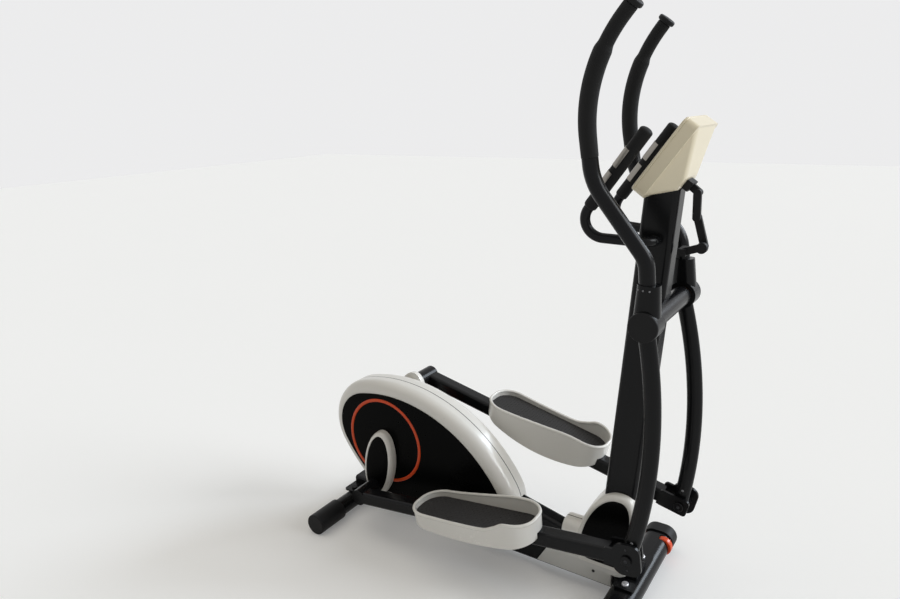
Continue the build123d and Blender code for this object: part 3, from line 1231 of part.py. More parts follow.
near_lane = -LINK_LANE - LINK_SIDE_GAP
pin_reach = LINK_LANE + 2 * LINK_SIDE_GAP
with BuildPart() as holder_clamp:
    block_plane = face_plane.offset(-CASE_HUMP)
    with BuildSketch(block_plane):
        with Locations((0, (HUMP_FROM + HUMP_TO) / 2)):
            RectangleRounded(HOLDER_WIDTH, HOLDER_HEIGHT, HOLDER_ROUND)
    extrude(amount=-HOLDER_BLOCK)
    link_plate(shoulder, holder_root, 0)
    cross_pin(shoulder, LINK_LANE, LINK_PIN_R + RUN, 2 * LINK_LANE, Mode.SUBTRACT)
keep(holder_clamp, "holder_clamp")

with BuildPart() as holder_upper_link:
    link_plate(shoulder, elbow, near_lane)
    cross_pin(shoulder, near_lane + LINK_LANE / 2 + pin_reach, LINK_PIN_R, pin_reach, Mode.ADD)
    cross_pin(elbow, near_lane + LINK_LANE, LINK_PIN_R + RUN, 2 * LINK_LANE, Mode.SUBTRACT)
keep(holder_upper_link, "holder_upper_link")

with BuildPart() as holder_lower_link:
    link_plate(elbow, wrist, 0)
    cross_pin(elbow, -LINK_LANE / 2, LINK_PIN_R, pin_reach, Mode.ADD)
    cross_pin(wrist, LINK_LANE, LINK_PIN_R + RUN, 2 * LINK_LANE, Mode.SUBTRACT)
keep(holder_lower_link, "holder_lower_link")

with BuildPart() as holder_head:
    link_plate(wrist, head_tip, near_lane)
    cross_pin(wrist, near_lane + LINK_LANE / 2 + pin_reach, LINK_PIN_R, pin_reach, Mode.ADD)
    cross_pin(wrist, near_lane - LINK_LANE / 2, LINK_KNOB_R, LINK_KNOB, Mode.ADD)
    with BuildSketch(Plane(origin=head_tip, x_dir=(1, 0, 0), z_dir=(0, 0, 1))):
        RectangleRounded(2 * LINK_R, HOLDER_WIDTH, HOLDER_ROUND)
    extrude(amount=LINK_R, both=True)
keep(holder_head, "holder_head")
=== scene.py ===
import json
from math import cos, pi, radians, sin, sqrt

import bmesh
import bpy
from mathutils import Matrix, Vector
from mathutils.geometry import interpolate_bezier


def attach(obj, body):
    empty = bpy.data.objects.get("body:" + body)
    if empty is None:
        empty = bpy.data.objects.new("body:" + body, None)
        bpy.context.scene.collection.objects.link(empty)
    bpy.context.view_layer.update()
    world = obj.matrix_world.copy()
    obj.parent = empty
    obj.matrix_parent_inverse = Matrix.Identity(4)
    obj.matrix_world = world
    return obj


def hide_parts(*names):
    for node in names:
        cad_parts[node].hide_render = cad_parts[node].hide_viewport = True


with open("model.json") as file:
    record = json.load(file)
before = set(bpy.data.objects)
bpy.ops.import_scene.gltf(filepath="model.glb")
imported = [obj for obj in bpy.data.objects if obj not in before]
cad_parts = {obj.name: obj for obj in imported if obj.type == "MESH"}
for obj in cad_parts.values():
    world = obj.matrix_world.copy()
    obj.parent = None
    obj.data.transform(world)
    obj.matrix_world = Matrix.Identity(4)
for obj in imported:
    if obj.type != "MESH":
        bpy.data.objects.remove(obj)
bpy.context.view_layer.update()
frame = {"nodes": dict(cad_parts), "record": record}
nodes = frame["nodes"]
scene = bpy.context.scene
print("frame loaded:", len(nodes), "nodes")


# node maths: a socket that adds its own Math nodes
class Wire:
    def __init__(self, tree, socket):
        self.tree = tree
        self.socket = socket

    def output(self, name):
        return Wire(self.tree, self.socket.node.outputs[name])

    def math(self, operation, other=0.0, swapped=False):
        step = self.tree.nodes.new("ShaderNodeMath")
        step.operation = operation
        pair = (other, self) if swapped else (self, other)
        for socket, value in zip(step.inputs, pair):
            plug(self.tree, socket, value)
        return Wire(self.tree, step.outputs[0])

    def __add__(self, other):
        return self.math("ADD", other)

    def __radd__(self, other):
        return self.math("ADD", other, True)

    def __sub__(self, other):
        return self.math("SUBTRACT", other)

    def __rsub__(self, other):
        return self.math("SUBTRACT", other, True)

    def __mul__(self, other):
        return self.math("MULTIPLY", other)

    def __rmul__(self, other):
        return self.math("MULTIPLY", other, True)

    def __truediv__(self, other):
        return self.math("DIVIDE", other)

    def __gt__(self, other):
        return self.math("GREATER_THAN", other)

    def __lt__(self, other):
        return self.math("LESS_THAN", other)


def plug(tree, socket, value):
    if isinstance(value, Wire):
        tree.links.new(value.socket, socket)
    else:
        socket.default_value = value


# any node tree: one method adds a node with its settings and sockets
class NodeMaker:
    def __init__(self, tree):
        self.tree = tree

    def add(self, kind, settings=None, sockets=None, output=0):
        step = self.tree.nodes.new(kind)
        for key, value in (settings or {}).items():
            setattr(step, key, value)
        for key, value in (sockets or {}).items():
            plug(self.tree, step.inputs[key], value)
        return Wire(self.tree, step.outputs[output])

    def blend(self, share, low, high):  # by number, because a Mix node's colour sockets share their names
        return self.add("ShaderNodeMix", {"data_type": "RGBA", "clamp_factor": True},
                        {0: share, 6: low, 7: high}, output=2)


# one material: a Principled shader with the nodes that feed it
class Finish(NodeMaker):
    def __init__(self, name, **shaderValues):
        self.material = bpy.data.materials.new(name)
        self.material.use_nodes = True
        super().__init__(self.material.node_tree)
        self.shader = self.tree.nodes["Principled BSDF"]
        self.feed(**shaderValues)

    def place(self):
        return self.add("ShaderNodeTexCoord", output="Object")

    def axis(self, name):
        return self.add("ShaderNodeSeparateXYZ", None, {"Vector": self.place()}, output=name)

    def noise(self, scale, detail, rough=0.55, stretch=(1, 1, 1)):
        spot = self.add("ShaderNodeMapping", None, {"Vector": self.place(), "Scale": stretch})
        return self.add("ShaderNodeTexNoise", None, {"Vector": spot, "Scale": scale, "Detail": detail,
                                                     "Roughness": rough})

    def mottle(self, share, color, low, high):
        return self.blend(share, scaled(color, low), scaled(color, high))

    def bump(self, height, strength, depth):
        return self.add("ShaderNodeBump", None, {"Height": height, "Strength": strength, "Distance": depth})

    def feed(self, **links):
        for socketName, value in links.items():
            plug(self.tree, self.shader.inputs[socketName.replace("_", " ")], value)
        return self.material


# one geometry tree with named sizes, ended by real instances and a material
class Growth(NodeMaker):
    def __init__(self, name, **inputs):
        super().__init__(bpy.data.node_groups.new(name, "GeometryNodeTree"))
        face = self.tree.interface
        face.new_socket("Geometry", in_out="OUTPUT", socket_type="NodeSocketGeometry")
        face.new_socket("Geometry", in_out="INPUT", socket_type="NodeSocketGeometry")
        self.keys = {}
        for label, kind in inputs.items():
            socket = face.new_socket(label, in_out="INPUT", socket_type="NodeSocket" + kind)
            self.keys[label] = socket.identifier
        self.inlet = self.tree.nodes.new("NodeGroupInput")

    def value(self, label):
        return Wire(self.tree, self.inlet.outputs[label])

    def close(self, geometry, look):
        solid = self.add("GeometryNodeRealizeInstances", None, {"Geometry": geometry})
        painted = self.add("GeometryNodeSetMaterial", None, {"Geometry": solid, "Material": look})
        outlet = self.tree.nodes.new("NodeGroupOutput")
        plug(self.tree, outlet.inputs[0], painted)
        return self


# runs a geometry tree on a seed mesh and keeps the plain result
def grow(growth, start, sizes):
    seed = bpy.data.objects.new("seed", start)
    scene.collection.objects.link(seed)
    modifier = seed.modifiers.new("growth", "NODES")
    modifier.node_group = growth.tree
    for label, value in sizes.items():
        modifier[growth.keys[label]] = value
    bpy.context.view_layer.update()
    grown = seed.evaluated_get(bpy.context.evaluated_depsgraph_get())
    result = bpy.data.meshes.new_from_object(grown)
    bpy.data.objects.remove(seed)
    return result


def seedMesh(points, joined=False, closed=False):
    edges = [(i, i + 1) for i in range(len(points) - 1)] if joined else []
    mesh = bpy.data.meshes.new("seed")
    mesh.from_pydata(points, edges + ([(len(points) - 1, 0)] if closed else []), [])
    return mesh


mergeGap = 0.00001


# the plain mesh of one in the making: doubles merged, faces outwards
def closeMesh(whole, look):
    bmesh.ops.remove_doubles(whole, verts=whole.verts, dist=mergeGap)
    bmesh.ops.recalc_face_normals(whole, faces=whole.faces)
    mesh = bpy.data.meshes.new("closed")
    whole.to_mesh(mesh)
    whole.free()
    mesh.materials.append(look)
    return mesh


# a finished piece on its body, smooth up to the given crease
def addPiece(name, mesh, body, crease=40, replaced=()):
    mesh.name = name
    mesh.shade_smooth()
    mesh.set_sharp_from_angle(angle=radians(crease))
    thing = bpy.data.objects.new(name, mesh)
    scene.collection.objects.link(thing)
    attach(thing, body)
    if replaced:
        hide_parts(*replaced)
    return thing


def rgb(red, green, blue):
    return (red, green, blue, 1)


def scaled(color, share):
    return tuple(min(1, channel * share) for channel in color[:3]) + (1,)


def between(low, high, share):
    return low + (high - low) * share


colors = {
    "frame": rgb(0.0060, 0.0062, 0.0070),
    "shell": rgb(0.78, 0.765, 0.73),
    "console": rgb(0.82, 0.735, 0.545),
    # the shells' white darkened as painted shade, used below the shells' skirt height
    "skirt": rgb(0.66, 0.66, 0.645),
    "black": rgb(0.0016, 0.0017, 0.0017),
    "orange": rgb(0.68, 0.062, 0.006),
    "cap": rgb(0.0090, 0.0090, 0.0095),
    "foam": rgb(0.0085, 0.0085, 0.0088),
    "mat": rgb(0.034, 0.033, 0.033),
    "steel": rgb(0.55, 0.55, 0.57),
    "zinc": rgb(0.19, 0.19, 0.195),
    "blackZinc": rgb(0.045, 0.045, 0.048),
    "sensor": rgb(0.30, 0.28, 0.25),
    "bronze": rgb(0.62, 0.26, 0.08),
    "iron": rgb(0.11, 0.11, 0.115),
    "belt": rgb(0.012, 0.012, 0.012),
    "glass": rgb(0.10, 0.13, 0.115),
    "ink": rgb(0.02, 0.025, 0.02),
    "button": rgb(0.22, 0.225, 0.24),
}

# painted and moulded finishes: cloudy colour, rubbed gloss and a fine skin
moulded = {"driftScale": 5, "driftDetail": 4, "rubDetail": 5, "rubRough": 0.7, "skinDetail": 2,
           "skinStrength": 0.5, "coatRoughness": 0.08}


def mouldedGrain(finish, rub, grain, grainDepth):
    drift = finish.noise(moulded["driftScale"], moulded["driftDetail"])
    rubbed = finish.noise(rub, moulded["rubDetail"], moulded["rubRough"])
    skin = finish.noise(grain, moulded["skinDetail"])
    return drift, rubbed, finish.bump(skin, moulded["skinStrength"], grainDepth)


def mouldedFinish(name, color, cloud, gloss, grain, grainDepth, coat=0.0, rub=90, shine=0.5):
    finish = Finish(name, Coat_Weight=coat, Coat_Roughness=moulded["coatRoughness"], Specular_IOR_Level=shine)
    drift, rubbed, skin = mouldedGrain(finish, rub, grain, grainDepth)
    tone = finish.mottle(drift, color, 1 - cloud, 1 + cloud)
    roughness = between(*gloss, 0.5 * drift + 0.5 * rubbed)
    return finish.feed(Base_Color=tone, Roughness=roughness, Normal=skin)


# white shells: a dark parting line at the middle, and below a height a greyer copy of the white, which is
# painted shade
splitShellLook = {"skirtTop": 0.0995, "seamHalf": 0.0016, "seamShare": 0.94, "shell": (0.97, 1.03),
                  "skirt": (0.93, 1.06), "roughness": 0.24, "rubbed": 0.1, "lower": 0.12, "coat": 0.25,
                  "rub": 90, "grain": 900, "grainDepth": 0.00002}


def shellFinish(name, plan):
    finish = Finish(name, Coat_Weight=plan["coat"], Coat_Roughness=moulded["coatRoughness"])
    drift, rubbed, skin = mouldedGrain(finish, plan["rub"], plan["grain"], plan["grainDepth"])
    # below this height the white is painted in shade
    lower = finish.axis("Z") < plan["skirtTop"]
    parting = finish.axis("Y").math("ABSOLUTE") < plan["seamHalf"]
    white = finish.mottle(drift, colors["shell"], *plan["shell"])
    # a darker copy of the white as painted shade
    paintedShade = finish.mottle(drift, colors["skirt"], *plan["skirt"])
    tone = finish.blend(plan["seamShare"] * parting, finish.blend(lower, white, paintedShade), colors["cap"])
    roughness = plan["roughness"] + plan["rubbed"] * rubbed + plan["lower"] * lower
    return finish.feed(Base_Color=tone, Roughness=roughness, Normal=skin)


# bare metal, streaked along one direction
brushed = {"streakScale": 60, "streakDetail": 6, "streakRough": 0.75, "streakShare": 0.6, "stainScale": 14,
           "stainDetail": 4, "stainShare": 0.4, "tone": (0.78, 1.15), "strength": 0.25, "depth": 0.00004}


def brushedFinish(name, color, along, gloss):
    plan = brushed
    finish = Finish(name, Metallic=1.0)
    streak = finish.noise(plan["streakScale"], plan["streakDetail"], plan["streakRough"], along)
    stain = finish.noise(plan["stainScale"], plan["stainDetail"])
    tone = finish.mottle(plan["streakShare"] * streak + plan["stainShare"] * stain, color, *plan["tone"])
    return finish.feed(Base_Color=tone, Roughness=between(*gloss, streak),
                       Normal=finish.bump(streak, plan["strength"], plan["depth"]))


# bolts: bright steel ones on the front stabilizer, and the same bolts at the back painted black as shade,
# which hides their glint
boltLook = {"stainScale": 140, "stainDetail": 4, "rearShade": (0.8, 1.2), "bright": (0.8, 1.15),
            "gloss": (0.3, 0.55), "strength": 0.25, "depth": 0.00004}


def boltFinish(name, bright, rearShade):
    plan = boltLook
    finish = Finish(name, Metallic=1.0)
    stain = finish.noise(plan["stainScale"], plan["stainDetail"])
    # behind the middle the bolts are painted black as shade
    tone = finish.blend(finish.axis("X") > 0, finish.mottle(stain, rearShade, *plan["rearShade"]),
                        finish.mottle(stain, bright, *plan["bright"]))
    return finish.feed(Base_Color=tone, Roughness=between(*plan["gloss"], stain),
                       Normal=finish.bump(stain, plan["strength"], plan["depth"]))


# foam: fine cells with a soft sheen
foamLook = {"cellScale": 1100.0, "driftScale": 30, "driftDetail": 5, "tone": (0.7, 1.5),
            "gloss": (0.62, 0.82), "strength": 0.6, "depth": 0.0003, "sheen": 0.05, "sheenRoughness": 0.5,
            "shine": 0.18}


def foamFinish(name, color):
    plan = foamLook
    finish = Finish(name, Sheen_Weight=plan["sheen"], Sheen_Roughness=plan["sheenRoughness"],
                    Specular_IOR_Level=plan["shine"])
    cells = finish.add("ShaderNodeTexVoronoi", {"feature": "F1"},
                       {"Vector": finish.place(), "Scale": plan["cellScale"]})
    drift = finish.noise(plan["driftScale"], plan["driftDetail"])
    tone = finish.mottle(0.5 * drift + 0.5 * cells, color, *plan["tone"])
    return finish.feed(Base_Color=tone, Roughness=between(*plan["gloss"], drift),
                       Normal=finish.bump(cells, plan["strength"], plan["depth"]))


# display: a dull pane behind glass, with faint bars across it
displayLook = {"pitch": 0.03, "barFrom": 0.82, "barShare": 0.5, "driftScale": 40, "driftDetail": 4,
               "tone": (0.85, 1.15), "gloss": (0.08, 0.18), "coat": 0.6, "coatRoughness": 0.03}


def displayFinish(name, glassColor, inkColor):
    plan = displayLook
    finish = Finish(name, Coat_Weight=plan["coat"], Coat_Roughness=plan["coatRoughness"])
    bars = (finish.axis("Y") * (1 / plan["pitch"])).math("PINGPONG", 1.0) > plan["barFrom"]
    drift = finish.noise(plan["driftScale"], plan["driftDetail"])
    pane = finish.mottle(drift, glassColor, *plan["tone"])
    return finish.feed(Base_Color=finish.blend(plan["barShare"] * bars, pane, inkColor),
                       Roughness=between(*plan["gloss"], drift))


framePaint = mouldedFinish("frame_paint", colors["frame"], cloud=0.12, gloss=(0.20, 0.30), grain=650,
                           grainDepth=0.00004, shine=0.15)
shellWhite = mouldedFinish("shell_white", colors["shell"], cloud=0.03, gloss=(0.2, 0.32), grain=900,
                           grainDepth=0.00002, coat=0.25)
consoleCream = mouldedFinish("console_cream", colors["console"], cloud=0.03, gloss=(0.26, 0.38), grain=1200,
                             grainDepth=0.00004, coat=0.15)
panelBlack = mouldedFinish("panel_black", colors["black"], cloud=0.1, gloss=(0.22, 0.34), grain=700,
                           grainDepth=0.00001, rub=160, shine=0.035)
accentOrange = mouldedFinish("accent_orange", colors["orange"], cloud=0.08, gloss=(0.2, 0.32), grain=900,
                             grainDepth=0.00002, coat=0.1, shine=0.25)
capBlack = mouldedFinish("cap_black", colors["cap"], cloud=0.15, gloss=(0.42, 0.6), grain=1500,
                         grainDepth=0.00012, shine=0.16)
matRubber = mouldedFinish("mat_rubber", colors["mat"], cloud=0.15, gloss=(0.62, 0.8), grain=1400,
                          grainDepth=0.00018, shine=0.2)
beltRubber = mouldedFinish("belt_rubber", colors["belt"], cloud=0.2, gloss=(0.7, 0.85), grain=1200,
                           grainDepth=0.0001)
buttonGrey = mouldedFinish("button_grey", colors["button"], cloud=0.1, gloss=(0.45, 0.6), grain=1500,
                           grainDepth=0.0001)
splitShell = shellFinish("split_shell", splitShellLook)
foamBlack = foamFinish("grip_foam", colors["foam"])
displayGlass = displayFinish("display_glass", colors["glass"], colors["ink"])
# the back bolts take the cap's black as painted shade
boltMetal = boltFinish("bolt_metal", colors["steel"], colors["cap"])
brightSteel = brushedFinish("bright_steel", colors["steel"], along=(1, 1, 40), gloss=(0.22, 0.42))
sensorSteel = brushedFinish("sensor_steel", colors["sensor"], along=(1, 40, 1), gloss=(0.35, 0.5))
bronzeBush = brushedFinish("bronze_bush", colors["bronze"], along=(30, 1, 30), gloss=(0.3, 0.5))
castIron = brushedFinish("cast_iron", colors["iron"], along=(30, 1, 30), gloss=(0.4, 0.6))
dullZinc = brushedFinish("dull_zinc", colors["zinc"], along=(30, 30, 30), gloss=(0.4, 0.55))
blackZinc = brushedFinish("black_zinc", colors["blackZinc"], along=(30, 30, 30), gloss=(0.4, 0.55))

nodeFinish = {
    "frame_paint": framePaint, "shell_white": shellWhite, "panel_black": panelBlack,
    "accent_orange": accentOrange, "cap_black": capBlack, "grip_foam": foamBlack, "mat_grey": matRubber,
    "bright_steel": brightSteel, "bronze": bronzeBush, "cast_iron": castIron, "pulley_plastic": capBlack,
    "belt_rubber": beltRubber, "display_glass": displayGlass, "button_grey": buttonGrey,
}
ownFinish = {
    "console_back": consoleCream, "console_face": consoleCream, "pulse_sensors": sensorSteel,
    "frame_bolts": boltMetal, "mast_cover_right": splitShell, "mast_cover_left": splitShell,
    "housing_right": splitShell, "housing_left": splitShell,
}
for part in frame["record"]["subparts"]:
    look = ownFinish.get(part["node"], nodeFinish[part["material_slot"]])
    mesh = nodes[part["node"]].data
    mesh.materials.clear()
    mesh.materials.append(look)
print("finishes on all nodes")

# the linkage at rest on each side: crank pin, slope of the pedal arm, turn of the swing arm
pivot = Vector((0.51225, 0, 0.867))
armY = 0.154
sides = {
    "right": {"out": -1, "pin": Vector((-0.407366, 0, 0.124813)), "slope": 7.41045, "swing": -0.94346},
    "left": {"out": 1, "pin": Vector((-0.346134, 0, 0.455187)), "slope": -13.3197, "swing": 3.11865},
}


# forward and upward directions at a slope
def slopeAxes(degrees):
    turn = radians(degrees)
    return Vector((cos(turn), 0, sin(turn))), Vector((-sin(turn), 0, cos(turn)))


# a point of the swing arm: ahead of, above and outside its pivot
def swingPoint(hand, ahead, rise, out):
    nose, lift = slopeAxes(sides[hand]["swing"])
    return pivot + nose * ahead + lift * rise + Vector((0, sides[hand]["out"] * (armY + out), 0))


# the pedal's own axes, from a spot measured from the crank pin
def pedalAxes(hand, along, across, rise):
    side = sides[hand]
    nose, lift = slopeAxes(side["slope"])
    middle = side["pin"] + nose * along + lift * rise + Vector((0, side["out"] * across, 0))
    return Matrix.Translation(middle) @ Matrix((nose, Vector((0, 1, 0)), lift)).transposed().to_4x4()


# foam sleeves: a tube along a bent line that swells, narrows to a neck and rounds at both ends
sleeveMesh = {"bendSteps": 30, "step": 0.0011, "around": 40}
handleGrip = {
    "knee": (-0.140, 0.322, 0.022),
    "crown": (-0.172, 0.563, 0.034),
    "end": (-0.066, 0.689, 0.038),
    "split": 0.22,
    "fill": 0.9,
    "sizes": {"Bend": 0.330, "Foot": 0.0197, "Middle": 0.0208, "Tip": 0.0169, "Neck": 0.68, "Ease": 0.06,
              "Foot lip": 0.0016, "Tip lip": 0.0022, "Round": 0.0045},
}
pulseGrip = {
    "corner": (0.29223, 0.105, 1.052),
    "rake": 54,
    "foot": 0.088,
    "tip": 0.314,
    "fill": 0.9,
    "sizes": {"Bend": 0.0, "Foot": 0.0165, "Middle": 0.0165, "Tip": 0.0163, "Neck": 0.5, "Ease": 0.4,
              "Foot lip": 0.0030, "Tip lip": 0.0160, "Round": 0.0085},
}


def foamSleeve(look):
    growth = Growth("foamSleeve", **{label: "Float" for label in handleGrip["sizes"]})
    line = growth.add("GeometryNodeMeshToCurve", None, {"Mesh": growth.value("Geometry")})
    bent = growth.add("GeometryNodeFilletCurve", {"mode": "POLY"},
                      {"Curve": line, "Count": sleeveMesh["bendSteps"], "Radius": growth.value("Bend"),
                       "Limit Radius": True})
    fine = growth.add("GeometryNodeResampleCurve", {"mode": "LENGTH"},
                      {"Curve": bent, "Length": sleeveMesh["step"]})
    along = growth.add("GeometryNodeSplineParameter")
    whole = growth.add("GeometryNodeSplineLength")
    foot, middle, tip = (growth.value(label) for label in ("Foot", "Middle", "Tip"))
    swell = foot + (middle - foot) * 4 * along * (1 - along)  # full half way along
    past = (along - growth.value("Neck")) / growth.value("Ease")
    past = past.math("MAXIMUM", 0.0).math("MINIMUM", 1.0)
    necked = past * past * (3 - 2 * past)  # an easy step from 0 to 1
    body = swell * (1 - necked) + tip * necked

    def rounding(fromEnd, lip):
        share = 1 - (fromEnd * whole / growth.value("Round")).math("MINIMUM", 1.0)
        return growth.value(lip) * (1 - (1 - share * share).math("SQRT"))

    width = body - rounding(along, "Foot lip") - rounding(1 - along, "Tip lip")
    circle = growth.add("GeometryNodeCurvePrimitiveCircle", None,
                        {"Resolution": sleeveMesh["around"], "Radius": 1.0})
    tube = growth.add("GeometryNodeCurveToMesh", None,
                      {"Curve": fine, "Profile Curve": circle, "Scale": width, "Fill Caps": True})
    return growth.close(tube, look)


sleeve = foamSleeve(foamBlack)
for hand in sides:
    knee, crown, end = (swingPoint(hand, *handleGrip[key]) for key in ("knee", "crown", "end"))
    line = seedMesh([knee.lerp(crown, handleGrip["split"]), crown, end], True)
    grip = addPiece("foam_grip_" + hand, grow(sleeve, line, handleGrip["sizes"]), "swing_" + hand,
                    replaced=["handle_grip_" + hand])

bothPulse = bmesh.new()
pulseUp = slopeAxes(pulseGrip["rake"])[0]
for side in sides.values():
    x, y, z = pulseGrip["corner"]
    corner = Vector((x, side["out"] * y, z))
    line = seedMesh([corner + pulseUp * pulseGrip["foot"], corner + pulseUp * pulseGrip["tip"]], True)
    bothPulse.from_mesh(grow(sleeve, line, pulseGrip["sizes"]))
pulseFoam = addPiece("pulse_foam", closeMesh(bothPulse, foamBlack), "base",
                     replaced=["pulse_grips"])
print("foam grips done")

# foot mats: rows of low oval studs, turned crosswise in turn, clear of the rounded border
treads = {
    "along": 0.462,
    "across": 0.172,
    "rise": 0.0259,
    "studSides": 10,
    "studTop": 0.62,
    "studTurn": 45,
    "sizes": {"Length": 0.3923, "Width": 0.1323, "Corner": 0.0562, "Margin": 0.009, "Columns": 43, "Rows": 15,
              "Stud": 0.0034, "Slim": 0.34, "Height": 0.0011},
}


def studField(look):
    kinds = {label: "Int" if label in ("Columns", "Rows") else "Float" for label in treads["sizes"]}
    growth = Growth("matStuds", **kinds)
    length, width, corner = (growth.value(label) for label in ("Length", "Width", "Corner"))
    columns, rows, radius = (growth.value(label) for label in ("Columns", "Rows", "Stud"))
    grid = growth.add("GeometryNodeMeshGrid", None,
                      {"Size X": length, "Size Y": width, "Vertices X": columns, "Vertices Y": rows})
    spot = growth.add("GeometryNodeInputPosition")
    x = growth.add("ShaderNodeSeparateXYZ", None, {"Vector": spot}, output="X")
    y = x.output("Y")
    overX = (x.math("ABSOLUTE") - (0.5 * length - corner)).math("MAXIMUM", 0.0)
    overY = (y.math("ABSOLUTE") - (0.5 * width - corner)).math("MAXIMUM", 0.0)
    reach = (overX * overX + overY * overY).math("SQRT")
    inside = growth.add("GeometryNodeDeleteGeometry", {"domain": "POINT"},
                        {"Geometry": grid, "Selection": reach > corner - growth.value("Margin")})
    step = (x / length + 0.5) * (columns - 1) + (y / width + 0.5) * (rows - 1)
    crosswise = step.math("ROUND").math("PINGPONG", 1.0)
    turn = growth.add("ShaderNodeCombineXYZ", None,
                      {"Z": radians(90) * crosswise + radians(treads["studTurn"])})
    cone = growth.add("GeometryNodeMeshCone", {"fill_type": "NGON"},
                      {"Vertices": treads["studSides"], "Radius Top": treads["studTop"] * radius,
                       "Radius Bottom": radius, "Depth": growth.value("Height")})
    flat = growth.add("ShaderNodeCombineXYZ", None, {"X": 1.0, "Y": growth.value("Slim"), "Z": 1.0})
    stud = growth.add("GeometryNodeTransform", None, {"Geometry": cone, "Scale": flat})
    field = growth.add("GeometryNodeInstanceOnPoints", None,
                       {"Points": inside, "Instance": stud, "Rotation": turn})
    return growth.close(field, look)


studs = studField(matRubber)
for hand in sides:
    field = grow(studs, seedMesh([]), treads["sizes"])
    field.transform(pedalAxes(hand, treads["along"], treads["across"], treads["rise"]))
    addPiece("mat_studs_" + hand, field, "pedal_" + hand, crease=30)
print("mat studs done")

# rolled rims of the foot cups: a bead along the cup's wavy edge
cupRim = {
    "heel": 0.256, "toe": 0.668, "inner": 0.096, "outer": 0.248, "corner": 0.066,
    "inset": 0.0038, "sink": 0.0018, "arcSteps": 14, "runSteps": 44, "riseSteps": 24,
    "outerRise": ((-0.020, 0.042), (0.010, 0.042), (0.090, 0.039), (0.180, 0.037), (0.270, 0.039),
                  (0.312, 0.053), (0.345, 0.067), (0.402, 0.063), (0.432, 0.062)),
    "innerRise": ((-0.020, 0.042), (0.010, 0.042), (0.100, 0.045), (0.220, 0.058), (0.310, 0.068),
                  (0.402, 0.063), (0.432, 0.062)),
    "beadStep": 0.004, "beadAround": 14,
    "sizes": {"Radius": 0.0048},
}


# the height at a place on a smooth line through the given spots
def smoothRise(spots, place):
    spots = [Vector((*spot, 0)) for spot in spots]
    for i in range(1, len(spots) - 2):
        before, start, end, after = spots[i - 1:i + 3]
        if start.x <= place <= end.x:
            leave, arrive = start + (end - before) / 6, end - (after - start) / 6
            run = interpolate_bezier(start, leave, arrive, end, cupRim["riseSteps"])
            return min(run, key=lambda point: abs(point.x - place)).y
    return spots[1].y if place < spots[1].x else spots[-2].y


def rimLoop(hand):
    plan = cupRim
    inset, corner = plan["inset"], plan["corner"] - plan["inset"]
    left, right = plan["heel"] + inset + corner, plan["toe"] - inset - corner
    low, high = plan["inner"] + inset + corner, plan["outer"] - inset - corner
    loop = []
    for x, y, first in ((right, high, 0), (left, high, 90), (left, low, 180), (right, low, 270)):
        for i in range(plan["arcSteps"] + 1):
            turn = radians(first + 90 * i / plan["arcSteps"])
            loop.append((x + corner * cos(turn), y + corner * sin(turn)))
        if first in (0, 180):
            step = (left - right) / plan["runSteps"] * (1 if first == 0 else -1)
            loop += [(x + step * i, loop[-1][1]) for i in range(1, plan["runSteps"])]
    middle = (plan["inner"] + plan["outer"]) / 2
    points = []
    for along, across in loop:
        rise = smoothRise(plan["outerRise" if across > middle else "innerRise"], along - plan["heel"])
        points.append(Vector((along, sides[hand]["out"] * across, rise - plan["sink"])))
    return points


def roundBead(look):
    growth = Growth("roundBead", Radius="Float")
    line = growth.add("GeometryNodeMeshToCurve", None, {"Mesh": growth.value("Geometry")})
    fine = growth.add("GeometryNodeResampleCurve", {"mode": "LENGTH"},
                      {"Curve": line, "Length": cupRim["beadStep"]})
    circle = growth.add("GeometryNodeCurvePrimitiveCircle", None,
                        {"Resolution": cupRim["beadAround"], "Radius": 1.0})
    bead = growth.add("GeometryNodeCurveToMesh", None,
                      {"Curve": fine, "Profile Curve": circle, "Scale": growth.value("Radius")})
    return growth.close(bead, look)


rimBead = roundBead(shellWhite)
for hand in sides:
    rim = grow(rimBead, seedMesh(rimLoop(hand), True, True), cupRim["sizes"])
    rim.transform(pedalAxes(hand, 0, 0, 0))
    addPiece("cup_rim_" + hand, rim, "pedal_" + hand)
print("cup rims done")

# orange rings: half-round bands on the side panels
ringBand = {"center": (-0.37675, 0.290), "panel": 0.062, "radius": 0.143, "half": 0.0055, "proud": 0.0024,
            "around": 144, "across": 10}


def ringBands(plan, look):
    whole = bmesh.new()
    x, z = plan["center"]
    for out in (-1, 1):
        rows = []
        for i in range(plan["around"]):
            turn = 2 * pi * i / plan["around"]
            row = []
            for j in range(plan["across"] + 1):
                share = pi * j / plan["across"]
                reach = plan["radius"] + plan["half"] * cos(share)
                y = out * (plan["panel"] + plan["proud"] * sin(share))
                row.append(whole.verts.new((x + reach * cos(turn), y, z + reach * sin(turn))))
            rows.append(row)
        for here, after in zip(rows, rows[1:] + rows[:1]):
            for j in range(plan["across"] + 1):
                k = (j + 1) % (plan["across"] + 1)
                whole.faces.new((here[j], here[k], after[k], after[j]))
    return closeMesh(whole, look)


addPiece("ring_bands", ringBands(ringBand, accentOrange), "base", crease=60,
         replaced=["accent_rings"])
print("ring bands done")

# crank covers: oval shells that taper outwards, each with an oval black face; depth, half width, half length
crankShell = {
    "axle": Vector((-0.37675, 0, 0.290)), "steps": 112, "crease": 50,
    "shell": ((0.0655, 0.0600, 0.1255), (0.0780, 0.0592, 0.1247), (0.0850, 0.0570, 0.1225),
              (0.0895, 0.0530, 0.1185), (0.0916, 0.0488, 0.1143), (0.0920, 0.0464, 0.1119),
              (0.0916, 0.0456, 0.1111), (0.0903, 0.0454, 0.1109)),
    "face": ((0.0900, 0.0450, 0.1105), (0.0908, 0.0450, 0.1105), (0.0914, 0.0440, 0.1095),
             (0.0917, 0.0400, 0.1055), (0.0919, 0.0200, 0.0500)),
}


